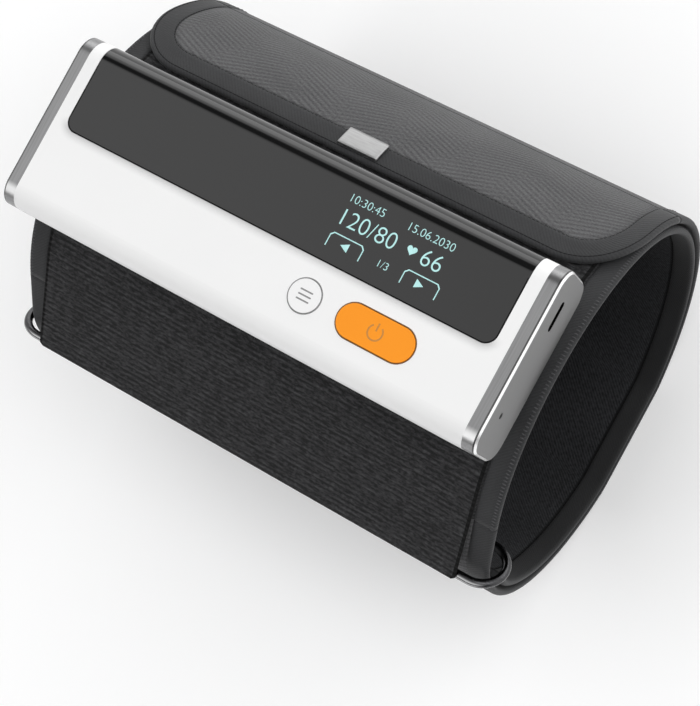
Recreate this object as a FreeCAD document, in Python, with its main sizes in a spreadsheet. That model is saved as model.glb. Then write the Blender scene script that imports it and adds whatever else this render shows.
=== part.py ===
import FreeCAD, Part
import math
import os
import re
import types

import Sketcher
from FreeCAD import Vector

# An upper-arm blood pressure monitor: a bar-shaped monitor on a rolled cuff.
# X runs along the cuff's tube, the cuff lies on its back on the table at Z = 0,
# and the monitor faces up. The origin lies on the flat where the cuff rests, under the monitor's middle.

doc = FreeCAD.newDocument("arm_monitor")

# Driving dimensions, in millimetres and degrees
DIMENSIONS = (
    # Rolled cuff
    ("cuff_x", -1.9),
    ("cuff_width", 148.8),
    ("tube_radius", 55),
    ("rest_depth", 2.5),
    ("rest_blend", 14),
    ("strap_thickness", 2.0),
    ("layer_gap", 0.9),
    ("shell_ply", 1.0),
    ("lining_ply", 0.6),
    ("binding_width", 6),
    ("bladder_width", 120),
    ("bladder_start_angle", 240),
    ("bladder_end_angle", 468),
    ("strap_joint_angle", 140),
    ("lead_radius", 25),
    ("shell_turn_angle", 186),
    ("shell_end_angle", 165),
    # Ribbed front cover
    ("cover_width", 135.8),
    ("cover_thickness", 0.6),
    ("cover_start_angle", 50),
    # Closing flap
    ("flap_hinge_angle", 20),
    ("flap_edge_y", 25.5),
    ("flap_corner", 17),
    ("hinge_gap", 0.3),
    ("hook_width", 112),
    ("hook_thickness", 0.6),
    ("hook_start_angle", 25),
    ("hook_end_angle", 47),
    ("tab_width", 12.0),
    ("tab_length", 6.0),
    ("tab_thickness", 0.9),
    ("tab_inset", 1.6),
    # Wire ring
    ("ring_length", 156.6),
    ("wire_diameter", 2.4),
    ("ring_angle", 159.2),
    ("ring_rise", 2.8),
    ("hem_clearance", 0.2),
    ("sleeve_angle", 139),
    ("sleeve_width", 133.8),
    ("sleeve_gap", 1.2),
    # Monitor case
    ("monitor_length", 140),
    ("monitor_height", 47.4),
    ("monitor_depth", 20.4),
    ("monitor_y", -2.5),
    ("corner_radius", 5.5),
    ("wall", 2.0),
    ("back_depth", 7.4),
    ("cap_width", 3.8),
    ("cap_chamfer", 0.6),
    ("cap_spigot", 1.5),
    ("cap_face", 1.2),
    ("fit_gap", 0.1),
    ("cut_margin", 1.0),
    # Window and display
    ("glass_length", 125.1),
    ("glass_edge_y", -0.6),
    ("glass_thickness", 1.1),
    ("glass_corner", 3.2),
    ("glass_wrap", 8.0),
    ("display_x", 30),
    ("display_y", 10),
    ("display_length", 38),
    ("display_height", 16.4),
    ("aperture_rim", 1.2),
    # Buttons
    ("button_y", -9.8),
    ("start_x", 36.3),
    ("start_length", 21),
    ("start_width", 8.9),
    ("menu_x", 16.4),
    ("menu_diameter", 8.5),
    ("button_gap", 0.12),
    ("button_proud", 0.25),
    ("flange_rim", 0.9),
    ("flange_thickness", 0.8),
    ("button_travel", 0.5),
    ("switch_size", 6),
    ("plunger_radius", 1.5),
    ("plunger_height", 0.6),
    # Board and what it carries
    ("board_left", -14),
    ("board_right", 63.2),
    ("board_width", 37),
    ("board_thickness", 1.2),
    ("board_drop", 5.5),
    ("board_corner", 2),
    ("post_radius", 1.6),
    ("post_inset", 3),
    ("post_right_inset", 9),
    ("boss_root", 0.5),
    ("port_y", 12.95),
    ("slot_length", 7.7),
    ("slot_width", 2.2),
    ("socket_width", 8.6),
    ("socket_height", 3.2),
    ("socket_length", 6.6),
    ("socket_wall", 0.35),
    ("socket_corner", 0.8),
    ("socket_floor", 1.0),
    ("tongue_width", 4.3),
    ("tongue_thickness", 0.65),
    ("light_y", -13),
    ("light_drop", 7.2),
    ("light_diameter", 1.5),
    ("battery_x", 18),
    ("battery_length", 52),
    ("battery_width", 32),
    ("battery_thickness", 8),
    ("battery_corner", 3),
    # Screws
    ("screw_x", 59.5),
    ("screw_y", 19.2),
    ("boss_radius", 2.3),
    ("screw_diameter", 1.9),
    ("screw_grip", 5),
    ("head_diameter", 3.6),
    ("head_height", 1.3),
    ("head_recess", 0.2),
    # Air system
    ("pump_x", -40.8),
    ("pump_y", 12.5),
    ("motor_radius", 7),
    ("motor_length", 24),
    ("shaft_boss_radius", 2.3),
    ("shaft_boss_length", 1),
    ("mount_thickness", 1),
    ("mount_length", 11),
    ("mount_offset", 7),
    ("head_length", 16),
    ("head_corner", 2.5),
    ("manifold_width", 20),
    ("manifold_height", 8),
    ("valve_y", -9),
    ("valve_length", 20),
    ("valve_size", 10),
    ("spout_radius", 1.7),
    ("spout_length", 2.5),
    ("sensor_size", 7),
    ("sensor_height", 4),
    ("spigot_radius", 1.75),
    ("spigot_length", 2),
    ("port_x", -51),
    ("nozzle_radius", 2.2),
    ("nozzle_length", 3.4),
    ("nozzle_bore", 1.2),
    ("nozzle_gap", 0.06),
    ("port_wall", 1.4),
    ("seal_thickness", 0.6),
    # Dock
    ("dock_rise", 2.9),
    ("dock_length", 118),
    ("dock_width", 30),
    ("dock_corner", 7),
    ("pin_right_x", 52),
    ("pin_left_x", -12),
    ("pin_radius", 2),
    ("pin_height", 4),
    ("pin_wall", 1.4),
)

sheet = doc.addObject("Spreadsheet::Sheet", "dims")
for row, (alias, number) in enumerate(DIMENSIONS, start=1):
    sheet.set(f"A{row}", alias)
    sheet.set(f"B{row}", str(number))
    sheet.setAlias(f"B{row}", alias)
doc.recompute()

ALIASES = {alias for alias, number in DIMENSIONS}
# The same sizes as numbers, for the cloth's curves
size = types.SimpleNamespace(**{alias: float(sheet.get(alias)) for alias in ALIASES})

# Heights and places that several pieces share
COVER_RADIUS = "(tube_radius - strap_thickness - layer_gap + cover_thickness)"
COVER_CREST = f"(tube_radius - rest_depth + {COVER_RADIUS})"
BACK_Z = f"({COVER_CREST} + dock_rise)"
FACE_Z = f"({BACK_Z} + monitor_depth)"
INNER_BACK_Z = f"({BACK_Z} + wall)"
INNER_FACE_Z = f"({FACE_Z} - wall)"
PARTING_Z = f"({BACK_Z} + back_depth)"
BOARD_TOP_Z = f"({FACE_Z} - board_drop)"
BOARD_BACK_Z = f"({BOARD_TOP_Z} - board_thickness)"
CASE_HALF = "(monitor_length/2 - cap_width)"
SIGNS = ((-1, -1), (-1, 1), (1, -1), (1, 1))

# Flat sides of the hidden posts and bosses, the small screws' heads and the wire
POST_SIDES = 8
HEAD_SIDES = 12
WIRE_SIDES = 10

parts = []


def formula(text):
    """Name the sheet before every alias, as an expression needs."""
    return re.sub(r"[a-z_]+", lambda word: "dims." + word[0] if word[0] in ALIASES else word[0], text)


def bind(item, **sizes):
    for name, text in sizes.items():
        item.setExpression(name, formula(text))


def place(item, x, y, z):
    for axis, text in zip("xyz", (x, y, z)):
        item.setExpression(f"Placement.Base.{axis}", formula(text))


def sub_part(item, name):
    """Keep a finished piece under the name of its file."""
    item.Label = name
    parts.append(item)
    return item


def block(name, length, width, height, x, y, z):
    """A box from its lowest corner."""
    item = doc.addObject("Part::Box", name)
    bind(item, Length=length, Width=width, Height=height)
    place(item, x, y, z)
    return item


def rod(name, radius, length, x, y, z, along_x=False):
    """A cylinder from the middle of its first end, along Z or X."""
    item = doc.addObject("Part::Cylinder", name)
    bind(item, Radius=radius, Height=length)
    if along_x:
        item.Placement.Rotation = FreeCAD.Rotation(Vector(0, 1, 0), 90)
    place(item, x, y, z)
    return item


def post(name, radius, length, x, y, z, sides=POST_SIDES, along_x=False):
    """A many-sided post from the middle of its first end, along Z or X, with its corners at the radius."""
    item = doc.addObject("Part::Prism", name)
    item.Polygon = sides
    bind(item, Circumradius=radius, Height=length)
    if along_x:
        item.Placement.Rotation = FreeCAD.Rotation(Vector(0, 1, 0), 90)
    place(item, x, y, z)
    return item


def fuse(name, items):
    item = doc.addObject("Part::MultiFuse", name)
    item.Shapes = items
    item.Refine = True
    return item


def cut(name, base, tools):
    item = doc.addObject("Part::Cut", name)
    item.Base = base
    item.Tool = tools[0] if len(tools) == 1 else fuse(name + "_tools", tools)
    item.Refine = True
    return item


def common(name, base, tool):
    item = doc.addObject("Part::Common", name)
    item.Base = base
    item.Tool = tool
    item.Refine = True
    return item


def rectangle(sketch, width, height):
    """A rectangle round the sketch's origin, with both sides bound."""
    corners = [Vector(x, y, 0) for x, y in ((-2, -1), (2, -1), (2, 1), (-2, 1))]
    for first, second in zip(corners, corners[1:] + corners[:1]):
        sketch.addGeometry(Part.LineSegment(first, second), False)
    for side in range(4):
        sketch.addConstraint(Sketcher.Constraint("Coincident", side, 2, (side + 1) % 4, 1))
        sketch.addConstraint(Sketcher.Constraint("Horizontal" if side % 2 == 0 else "Vertical", side))
    sketch.addConstraint(Sketcher.Constraint("Symmetric", 0, 1, 2, 1, -1, 1))
    for geometry, kind, label, text in ((0, "DistanceX", "width", width), (1, "DistanceY", "height", height)):
        index = sketch.addConstraint(Sketcher.Constraint(kind, geometry, 1, geometry, 2, 2.0))
        sketch.renameConstraint(index, label)
        sketch.setExpression(f"Constraints.{label}", formula(text))


def rounded_prism(name, plane, width, height, length, radius, centre):
    """A padded rectangle with rounded long edges, round its centre."""
    body = doc.addObject("PartDesign::Body", name)
    sketch = body.newObject("Sketcher::SketchObject", name + "_outline")
    origin = next(item for item in body.Origin.OriginFeatures if item.Role == plane)
    sketch.AttachmentSupport = [(origin, "")]
    sketch.MapMode = "FlatFace"
    rectangle(sketch, width, height)
    pad = body.newObject("PartDesign::Pad", name + "_pad")
    pad.Profile = sketch
    pad.SideType = "Symmetric"
    bind(pad, Length=length)
    doc.recompute()
    axis = {"XY_Plane": Vector(0, 0, 1), "XZ_Plane": Vector(0, 1, 0), "YZ_Plane": Vector(1, 0, 0)}[plane]
    fillet = body.newObject("PartDesign::Fillet", name + "_rounding")
    long_edges = [
        f"Edge{number}"
        for number, edge in enumerate(pad.Shape.Edges, start=1)
        if abs(edge.tangentAt(edge.FirstParameter).dot(axis)) > 0.99
    ]
    fillet.Base = (pad, long_edges)
    bind(fillet, Radius=radius)
    place(body, *centre)
    return body


def stadium(name, length, width, height, x, y, z):
    """A block with round ends, from the middle of its lower face."""
    flat = block(name + "_flat", f"{length} - {width}", width, height,
                 f"{x} - ({length} - {width})/2", f"{y} - ({width})/2", z)
    ends = [
        rod(f"{name}_end{side}", f"({width})/2", height, f"{x} {sign} ({length} - {width})/2", y, z)
        for side, sign in enumerate("-+")
    ]
    return fuse(name, [flat] + ends)


# Curves of the rolled cloth, seen along X: angles run from +Y over the top, depth runs inwards
AXIS = Vector(size.cuff_x, 0, size.tube_radius - size.rest_depth)
BLEND_REACH = math.sqrt(size.rest_depth * (2 * (size.tube_radius - size.rest_blend) - size.rest_depth))
BLEND_TURN = math.degrees(math.atan2(BLEND_REACH, AXIS.z - size.rest_blend))
INNER_DEPTH = size.strap_thickness + size.layer_gap
LARGEST_ARC = 120


def polar(centre, radius, angle):
    turn = math.radians(angle)
    return centre + Vector(0, radius * math.cos(turn), radius * math.sin(turn))


def arc(centre, radius, start, end):
    """Edges of an arc, each well under a half circle."""
    count = max(1, math.ceil(abs(end - start) / LARGEST_ARC))
    step = (end - start) / count
    edges = []
    for index in range(count):
        first = start + index * step
        points = [polar(centre, radius, first + share * step) for share in (0, 0.5, 1)]
        edges.append(Part.Arc(*points).toShape())
    return edges


def wrap_curve(depth, start, end):
    """The cuff's round, flattened where it lies on the table."""
    radius = size.tube_radius - depth
    if end < 270 - BLEND_TURN or start > 270 + BLEND_TURN:
        return arc(AXIS, radius, start, end)
    blend = size.rest_blend - depth
    left = Vector(AXIS.x, -BLEND_REACH, size.rest_blend)
    right = Vector(AXIS.x, BLEND_REACH, size.rest_blend)
    flat = Part.LineSegment(polar(left, blend, 270), polar(right, blend, 270)).toShape()
    return (
        arc(AXIS, radius, start, 270 - BLEND_TURN)
        + arc(left, blend, 270 - BLEND_TURN, 270)
        + [flat]
        + arc(right, blend, 270, 270 + BLEND_TURN)
        + arc(AXIS, radius, 270 + BLEND_TURN, end)
    )


SHELL_MIDDLE = size.tube_radius - INNER_DEPTH - size.strap_thickness / 2
LEAD_CENTRE = polar(AXIS, SHELL_MIDDLE - size.lead_radius, size.shell_turn_angle)


def shell_curve(depth):
    """The inner layer: it curls in at its free end and goes once round to the strap joint."""
    curl = size.lead_radius + INNER_DEPTH + size.strap_thickness / 2 - depth
    return (
        arc(LEAD_CENTRE, curl, size.shell_end_angle, size.shell_turn_angle)
        + wrap_curve(depth, size.shell_turn_angle, 360 + size.strap_joint_angle)
    )


def strap_curve(depth):
    """The outer layer: it leaves the strap joint straight, steps outwards and goes round the back."""
    middle = size.tube_radius - size.strap_thickness / 2
    normal = polar(Vector(), 1, size.strap_joint_angle)
    along = polar(Vector(), 1, size.strap_joint_angle + 90)
    reach = math.sqrt((middle - size.lead_radius) ** 2 - (SHELL_MIDDLE - size.lead_radius) ** 2)
    turn_centre = AXIS + normal * (SHELL_MIDDLE - size.lead_radius) + along * reach
    turn_radius = size.lead_radius + size.strap_thickness / 2 - depth
    turn_end = size.strap_joint_angle + math.degrees(math.atan2(reach, SHELL_MIDDLE - size.lead_radius))
    start = AXIS + normal * (SHELL_MIDDLE + size.strap_thickness / 2 - depth)
    lead = Part.LineSegment(start, start + along * reach).toShape()
    return (
        [lead]
        + arc(turn_centre, turn_radius, size.strap_joint_angle, turn_end)
        + wrap_curve(depth, turn_end, 360 + size.flap_hinge_angle)
    )


def strip(outer, inner, start_x, end_x):
    """Cloth between two curves, from start_x to end_x."""
    def first(edges):
        return edges[0].valueAt(edges[0].FirstParameter)

    def last(edges):
        return edges[-1].valueAt(edges[-1].LastParameter)

    closing = [
        Part.LineSegment(first(outer), first(inner)).toShape(),
        Part.LineSegment(last(outer), last(inner)).toShape(),
    ]
    outline = Part.Wire(Part.sortEdges(outer + inner + closing)[0])
    face = Part.Face(outline)
    face.translate(Vector(start_x, 0, 0))
    return face.extrude(Vector(end_x - start_x, 0, 0))


def ply(curve, depth, thickness, start_x, end_x):
    """One layer of cloth along a curve."""
    return strip(curve(depth), curve(depth + thickness), start_x, end_x)


def plain_shape(name, shape):
    """Keep a shape made from curves as a piece."""
    item = doc.addObject("Part::Feature", name)
    item.Shape = shape
    item.Placement = FreeCAD.Placement()
    return sub_part(item, name)


CUFF_HALF = size.cuff_width / 2
FIELD_HALF = CUFF_HALF - size.binding_width


def make_binding(name, curve, depth, side):
    """Tape that closes one edge of a layer."""
    ends = sorted((side * FIELD_HALF, side * CUFF_HALF))
    plain_shape(name, ply(curve, depth, size.strap_thickness, *ends))


# Inner layer of the cuff: shell cloth, bladder and lining
def make_cuff_shell():
    field = ply(shell_curve, INNER_DEPTH, size.shell_ply, -FIELD_HALF, FIELD_HALF)
    port = Part.makeCylinder(
        size.nozzle_radius + size.nozzle_gap + size.port_wall + size.fit_gap,
        2 * size.strap_thickness,
        Vector(size.port_x, 0, AXIS.z + size.tube_radius - INNER_DEPTH - size.strap_thickness),
    )
    plain_shape("cuff_shell", field.cut(port))


def make_lining():
    depth = INNER_DEPTH + size.strap_thickness - size.lining_ply
    plain_shape("arm_lining", ply(shell_curve, depth, size.lining_ply, -FIELD_HALF, FIELD_HALF))


def make_bladder():
    def curve(depth):
        return wrap_curve(depth, size.bladder_start_angle, size.bladder_end_angle)

    half = size.bladder_width / 2
    thickness = size.strap_thickness - size.shell_ply - size.lining_ply
    plain_shape("air_bladder", ply(curve, INNER_DEPTH + size.shell_ply, thickness, -half, half))


# Outer layer of the cuff, from the strap joint round the back to the flap
def make_wrap_strap():
    plain_shape("wrap_strap", ply(strap_curve, 0, size.strap_thickness, -FIELD_HALF, FIELD_HALF))


# Wire ring: its outer bar lies in the hem of the front cover, its inner bar in the cuff's end sleeve
WIRE = size.wire_diameter / 2
OUTER_BAR = polar(AXIS, size.tube_radius + size.ring_rise, size.ring_angle)
HEM_MIDDLE = WIRE + size.hem_clearance + size.cover_thickness / 2
INNER_BAR = polar(LEAD_CENTRE, size.lead_radius - HEM_MIDDLE, size.sleeve_angle)


def make_ring():
    across = INNER_BAR - OUTER_BAR
    end_radius = across.Length / 2
    straight = size.ring_length / 2 - end_radius - WIRE
    middle = (OUTER_BAR + INNER_BAR) * 0.5
    first_corner = math.degrees(math.atan2(across.z, across.y))

    def section(centre):
        """The wire's section, with corners that both bars share across the ring."""
        corners = [
            polar(centre, WIRE, first_corner + 360 * corner / WIRE_SIDES) for corner in range(WIRE_SIDES)
        ]
        return Part.Face(Part.makePolygon(corners + corners[:1]))

    pieces = []
    for bar in (OUTER_BAR, INNER_BAR):
        pieces.append(section(bar + Vector(-straight, 0, 0)).extrude(Vector(2 * straight, 0, 0)))
    for side in (-1, 1):
        shift = Vector(side * straight, 0, 0)
        hinge = Vector(side, 0, 0).cross(across)
        pieces.append(section(OUTER_BAR + shift).revolve(middle + shift, hinge, 180))
    plain_shape("tension_ring", pieces[0].fuse(pieces[1:]).removeSplitter())


def tube_about(bar, half_width):
    """A sewn tunnel round one bar of the ring."""
    start = bar + Vector(-half_width, 0, 0)
    inside = WIRE + size.hem_clearance
    outer = Part.makeCylinder(inside + size.cover_thickness, 2 * half_width, start, Vector(1, 0, 0))
    return outer.cut(Part.makeCylinder(inside, 2 * half_width, start, Vector(1, 0, 0)))


def make_ring_sleeve():
    half = size.sleeve_width / 2
    gap_turn = math.degrees(size.sleeve_gap / size.lead_radius)
    outer = size.lead_radius + size.cover_thickness / 2
    curves = [
        arc(LEAD_CENTRE, radius, size.sleeve_angle, size.shell_end_angle - gap_turn)
        for radius in (outer, outer - size.cover_thickness)
    ]
    tail = strip(*curves, -half, half)
    plain_shape("ring_sleeve", tube_about(INNER_BAR, half).fuse(tail).removeSplitter())


# Ribbed cover: from under the flap over the front of the cuff, then straight to its hem on the ring
def make_front_cover():
    half = size.cover_width / 2
    inner_radius = size.tube_radius - INNER_DEPTH
    middle = inner_radius + size.cover_thickness / 2
    bar_radius = size.tube_radius + size.ring_rise
    lead_turn = math.acos((middle - HEM_MIDDLE) / bar_radius)
    leave = size.ring_angle - math.degrees(lead_turn)
    run = polar(Vector(), bar_radius * math.sin(lead_turn), leave + 90)
    curves = []
    for radius in (inner_radius + size.cover_thickness, inner_radius):
        corner = polar(AXIS, radius, leave)
        straight = Part.LineSegment(corner, corner + run).toShape()
        curves.append(arc(AXIS, radius, size.cover_start_angle, leave) + [straight])
    sheet_cloth = strip(*curves, -half, half)
    port = Part.makeCylinder(
        size.nozzle_radius + size.nozzle_gap + size.port_wall + size.fit_gap,
        2 * size.strap_thickness,
        Vector(size.port_x, 0, AXIS.z + inner_radius - size.strap_thickness),
    )
    plain_shape("front_cover", sheet_cloth.fuse(tube_about(OUTER_BAR, half)).removeSplitter().cut(port))


# Closing flap: the loose end of the outer layer, with a bound border, hooks and a pull tab
def flap_outline(name, inset):
    """The flap's plan, rounded at its free end and running past the hinge at the other."""
    return rounded_prism(
        name, "XY_Plane", f"cuff_width - 2*{inset}", "2*tube_radius - 2*" + inset, "4*tube_radius",
        f"flap_corner - {inset}", ("cuff_x", "flap_edge_y + tube_radius", "tube_radius"))


def flap_layer(name):
    """Cloth on the flap's round, before its outline is cut."""
    gap_turn = math.degrees(size.hinge_gap / size.tube_radius)
    end_angle = math.degrees(math.acos(size.flap_edge_y / size.tube_radius)) + gap_turn

    def curve(depth):
        return wrap_curve(depth, size.flap_hinge_angle + gap_turn, end_angle)

    item = doc.addObject("Part::Feature", name)
    item.Shape = ply(curve, 0, size.strap_thickness, -size.cuff_width, size.cuff_width)
    item.Placement = FreeCAD.Placement()
    return item


def make_flap():
    whole = common("flap_whole", flap_layer("flap_whole_ply"), flap_outline("flap_plan", "0"))
    field = common("closure_flap", flap_layer("flap_field_ply"),
                   flap_outline("flap_field_plan", "binding_width"))
    sub_part(field, "closure_flap")
    sub_part(cut("flap_binding", whole, [field]), "flap_binding")


def make_hook_patch():
    def curve(depth):
        return wrap_curve(depth, size.hook_start_angle, size.hook_end_angle)

    half = size.hook_width / 2
    plain_shape("hook_patch", ply(curve, size.strap_thickness, size.hook_thickness, -half, half))


def make_pull_tab():
    edge_angle = math.degrees(math.acos(size.flap_edge_y / size.tube_radius))
    end = edge_angle - math.degrees(size.tab_inset / size.tube_radius)
    start = end - math.degrees(size.tab_length / size.tube_radius)

    def curve(depth):
        return wrap_curve(depth, start, end)

    half = size.tab_width / 2
    plain_shape("pull_tab", ply(curve, -size.tab_thickness, size.tab_thickness, -half, half))


# Dock: moulded saddle between the round cuff and the flat back of the monitor
def make_dock():
    saddle = rounded_prism(
        "dock_block", "XY_Plane", "dock_length", "dock_width", "tube_radius", "dock_corner",
        ("0", "monitor_y", f"{BACK_Z} - tube_radius/2"))
    round_tool = rod("dock_round", COVER_RADIUS, "monitor_length", "-monitor_length/2", "0",
                     "tube_radius - rest_depth", along_x=True)
    port_tool = rod("dock_port", "nozzle_radius + nozzle_gap + port_wall + fit_gap", "tube_radius",
                    "port_x", "0", f"{BACK_Z} - tube_radius/2")
    pins = [
        post(f"dock_pin_{side}", "pin_radius", "pin_height + dock_rise/2", f"pin_{side}_x", "0",
             f"{BACK_Z} - dock_rise/2", HEAD_SIDES)
        for side in ("left", "right")
    ]
    plate = cut("dock_saddle", saddle, [round_tool, port_tool])
    sub_part(fuse("dock_plate", [plate] + pins), "dock_plate")


PORT_TOP_Z = f"({BACK_Z} - seal_thickness)"
BLADDER_TOP_Z = "(2*tube_radius - rest_depth - strap_thickness - layer_gap - shell_ply)"


def make_bladder_port():
    tube = rod("port_tube", "nozzle_radius + nozzle_gap + port_wall", f"{PORT_TOP_Z} - {BLADDER_TOP_Z}",
               "port_x", "0", BLADDER_TOP_Z)
    bore = rod("port_bore", "nozzle_radius + nozzle_gap", f"{PORT_TOP_Z} - {BLADDER_TOP_Z} + 2*cut_margin",
               "port_x", "0", f"{BLADDER_TOP_Z} - cut_margin")
    sub_part(cut("bladder_port", tube, [bore]), "bladder_port")
    ring = rod("seal_ring", "nozzle_radius + nozzle_gap + port_wall", "seal_thickness",
               "port_x", "0", PORT_TOP_Z)
    hole = rod("seal_hole", "nozzle_radius + nozzle_gap", "seal_thickness + 2*cut_margin",
               "port_x", "0", f"{PORT_TOP_Z} - cut_margin")
    sub_part(cut("port_seal", ring, [hole]), "port_seal")


# Monitor case: a rounded tube parted into a front and a back, closed by metal end caps
def case_bar(name, inset, length):
    return rounded_prism(
        name, "YZ_Plane", f"monitor_height - 2*{inset}", f"monitor_depth - 2*{inset}", length,
        f"corner_radius - {inset}", ("0", "monitor_y", f"{BACK_Z} + monitor_depth/2"))


def window_plan(name, grow):
    """The window's outline seen from the front: round lower corners, open over the top edge."""
    return rounded_prism(
        name, "XY_Plane", f"glass_length + 2*{grow}", f"monitor_height + 2*{grow}",
        f"glass_wrap + cut_margin + {grow}", f"glass_corner + {grow}",
        ("0", "monitor_y + glass_edge_y + monitor_height/2",
         f"{FACE_Z} + (cut_margin - glass_wrap - {grow})/2"))


def screw_posts(name, radius, length, start_z, sides=POST_SIDES):
    """One post at each of the four case screws."""
    return [
        post(f"{name}{index}", radius, length, f"{x}*screw_x", f"monitor_y + {y}*screw_y", start_z, sides)
        for index, (x, y) in enumerate(SIGNS)
    ]


def board_posts():
    """Posts that the board is pressed against, near its corners."""
    places = (("board_left + post_inset", -1), ("board_left + post_inset", 1),
              ("board_right - post_right_inset", -1), ("board_right - post_right_inset", 1))
    return [
        post(f"board_post{index}", "post_radius", f"{INNER_FACE_Z} + boss_root - {BOARD_TOP_Z}", x,
            f"monitor_y + {side}*(board_width/2 - post_inset)", BOARD_TOP_Z)
        for index, (x, side) in enumerate(places)
    ]


def make_case_front():
    shell = cut("case_shell", case_bar("case_outer", "0", f"2*{CASE_HALF}"),
                [case_bar("case_cavity", "wall", f"2*{CASE_HALF} + 2*cut_margin")])
    above = block("case_above", "monitor_length", "2*monitor_height", "monitor_depth", "-monitor_length/2",
                  "monitor_y - monitor_height", PARTING_Z)
    below = block("case_below", "monitor_length", "2*monitor_height", "back_depth + cut_margin",
                  "-monitor_length/2", "monitor_y - monitor_height", f"{BACK_Z} - cut_margin")
    skin = cut("glass_skin", case_bar("glass_outer", "0", f"2*{CASE_HALF}"),
               [case_bar("glass_inner", "glass_thickness", f"2*{CASE_HALF} + 2*cut_margin")])
    sub_part(common("display_window", skin, window_plan("glass_plan", "0")), "display_window")
    pocket = common("glass_pocket", skin, window_plan("pocket_plan", "fit_gap"))
    aperture = block("display_aperture", "display_length - 2*aperture_rim",
                     "display_height - 2*aperture_rim", "wall + 2*cut_margin",
                     "display_x - display_length/2 + aperture_rim",
                     "monitor_y + display_y - display_height/2 + aperture_rim",
                     f"{INNER_FACE_Z} - cut_margin")
    start_hole = stadium("start_hole", "start_length", "start_width", "wall + 2*cut_margin", "start_x",
                         "monitor_y + button_y", f"{INNER_FACE_Z} - cut_margin")
    menu_hole = rod("menu_hole", "menu_diameter/2", "wall + 2*cut_margin", "menu_x", "monitor_y + button_y",
                    f"{INNER_FACE_Z} - cut_margin")
    bosses = screw_posts("front_boss", "boss_radius", f"{INNER_FACE_Z} + boss_root - {PARTING_Z}", PARTING_Z)
    holes = screw_posts("front_hole", "screw_diameter/2 + fit_gap/2", "screw_grip + cut_margin + fit_gap",
                        f"{PARTING_Z} - cut_margin")
    body = fuse("front_solid", [common("front_half", shell, above)] + bosses + board_posts())
    tools = [pocket, aperture, start_hole, menu_hole] + holes
    sub_part(cut("front_housing", body, tools), "front_housing")
    return common("back_half", shell, below)


def make_case_back(half):
    bosses = screw_posts("back_boss", "boss_radius", f"{PARTING_Z} - {INNER_BACK_Z} + boss_root",
                         f"{INNER_BACK_Z} - boss_root")
    holes = screw_posts("back_hole", "screw_diameter/2 + fit_gap", "back_depth + 2*cut_margin",
                        f"{BACK_Z} - cut_margin")
    sinks = screw_posts("back_sink", "head_diameter/2 + fit_gap", "head_recess + head_height + cut_margin",
                        f"{BACK_Z} - cut_margin", HEAD_SIDES)
    sockets = []
    bores = []
    for side in ("left", "right"):
        sockets.append(post(f"pin_socket_{side}", "pin_radius + pin_wall", "pin_height + pin_wall",
                            f"pin_{side}_x", "0", BACK_Z))
        bores.append(rod(f"pin_bore_{side}", "pin_radius + nozzle_gap", "pin_height + fit_gap + cut_margin",
                         f"pin_{side}_x", "0", f"{BACK_Z} - cut_margin"))
    nozzle = rod("nozzle_hole", "nozzle_radius + nozzle_gap", "wall + 2*cut_margin", "port_x", "0",
                 f"{BACK_Z} - cut_margin")
    body = fuse("back_solid", [half] + bosses + sockets)
    sub_part(cut("back_housing", body, holes + sinks + bores + [nozzle]), "back_housing")


def make_case_screws():
    heads = screw_posts("screw_head", "head_diameter/2", "head_height", f"{BACK_Z} + head_recess", HEAD_SIDES)
    shanks = screw_posts("screw_shank", "screw_diameter/2",
                         f"{PARTING_Z} + screw_grip - {BACK_Z} - head_recess - head_height/2",
                         f"{BACK_Z} + head_recess + head_height/2")
    sub_part(fuse("case_screws", heads + shanks), "case_screws")


# End caps: metal, with a bright chamfer and a spigot inside the case
def cap_plate(name, side):
    plate = rounded_prism(
        name, "YZ_Plane", "monitor_height", "monitor_depth", "cap_width", "corner_radius",
        (f"{side}*(monitor_length - cap_width)/2", "monitor_y", f"{BACK_Z} + monitor_depth/2"))
    doc.recompute()
    outside = max(plate.Tip.Shape.Faces, key=lambda face: side * face.CenterOfMass.x)
    names = [
        f"Edge{number}"
        for number, edge in enumerate(plate.Tip.Shape.Edges, start=1)
        if any(edge.isSame(rim) for rim in outside.Edges)
    ]
    chamfer = plate.newObject("PartDesign::Chamfer", name + "_chamfer")
    chamfer.Base = (plate.Group[-2], names)
    bind(chamfer, Size="cap_chamfer")
    return plate


def cap_spigot(name, side):
    """The cap's plug: it bears on the case's flat walls and is relieved at the round corners."""
    start_x = f"{side}*({CASE_HALF} + (cap_width/2 - cap_spigot)/2) - (cap_spigot + cap_width/2)/2"
    bars = []
    for bar, (inset_y, inset_z) in enumerate((("(wall + fit_gap)", "corner_radius"),
                                              ("corner_radius", "(wall + fit_gap)"))):
        bars.append(block(
            f"{name}_bar{bar}", "cap_spigot + cap_width/2", f"monitor_height - 2*{inset_y}",
            f"monitor_depth - 2*{inset_z}", start_x, f"monitor_y - monitor_height/2 + {inset_y}",
            f"{BACK_Z} + {inset_z}"))
    return bars


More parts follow.
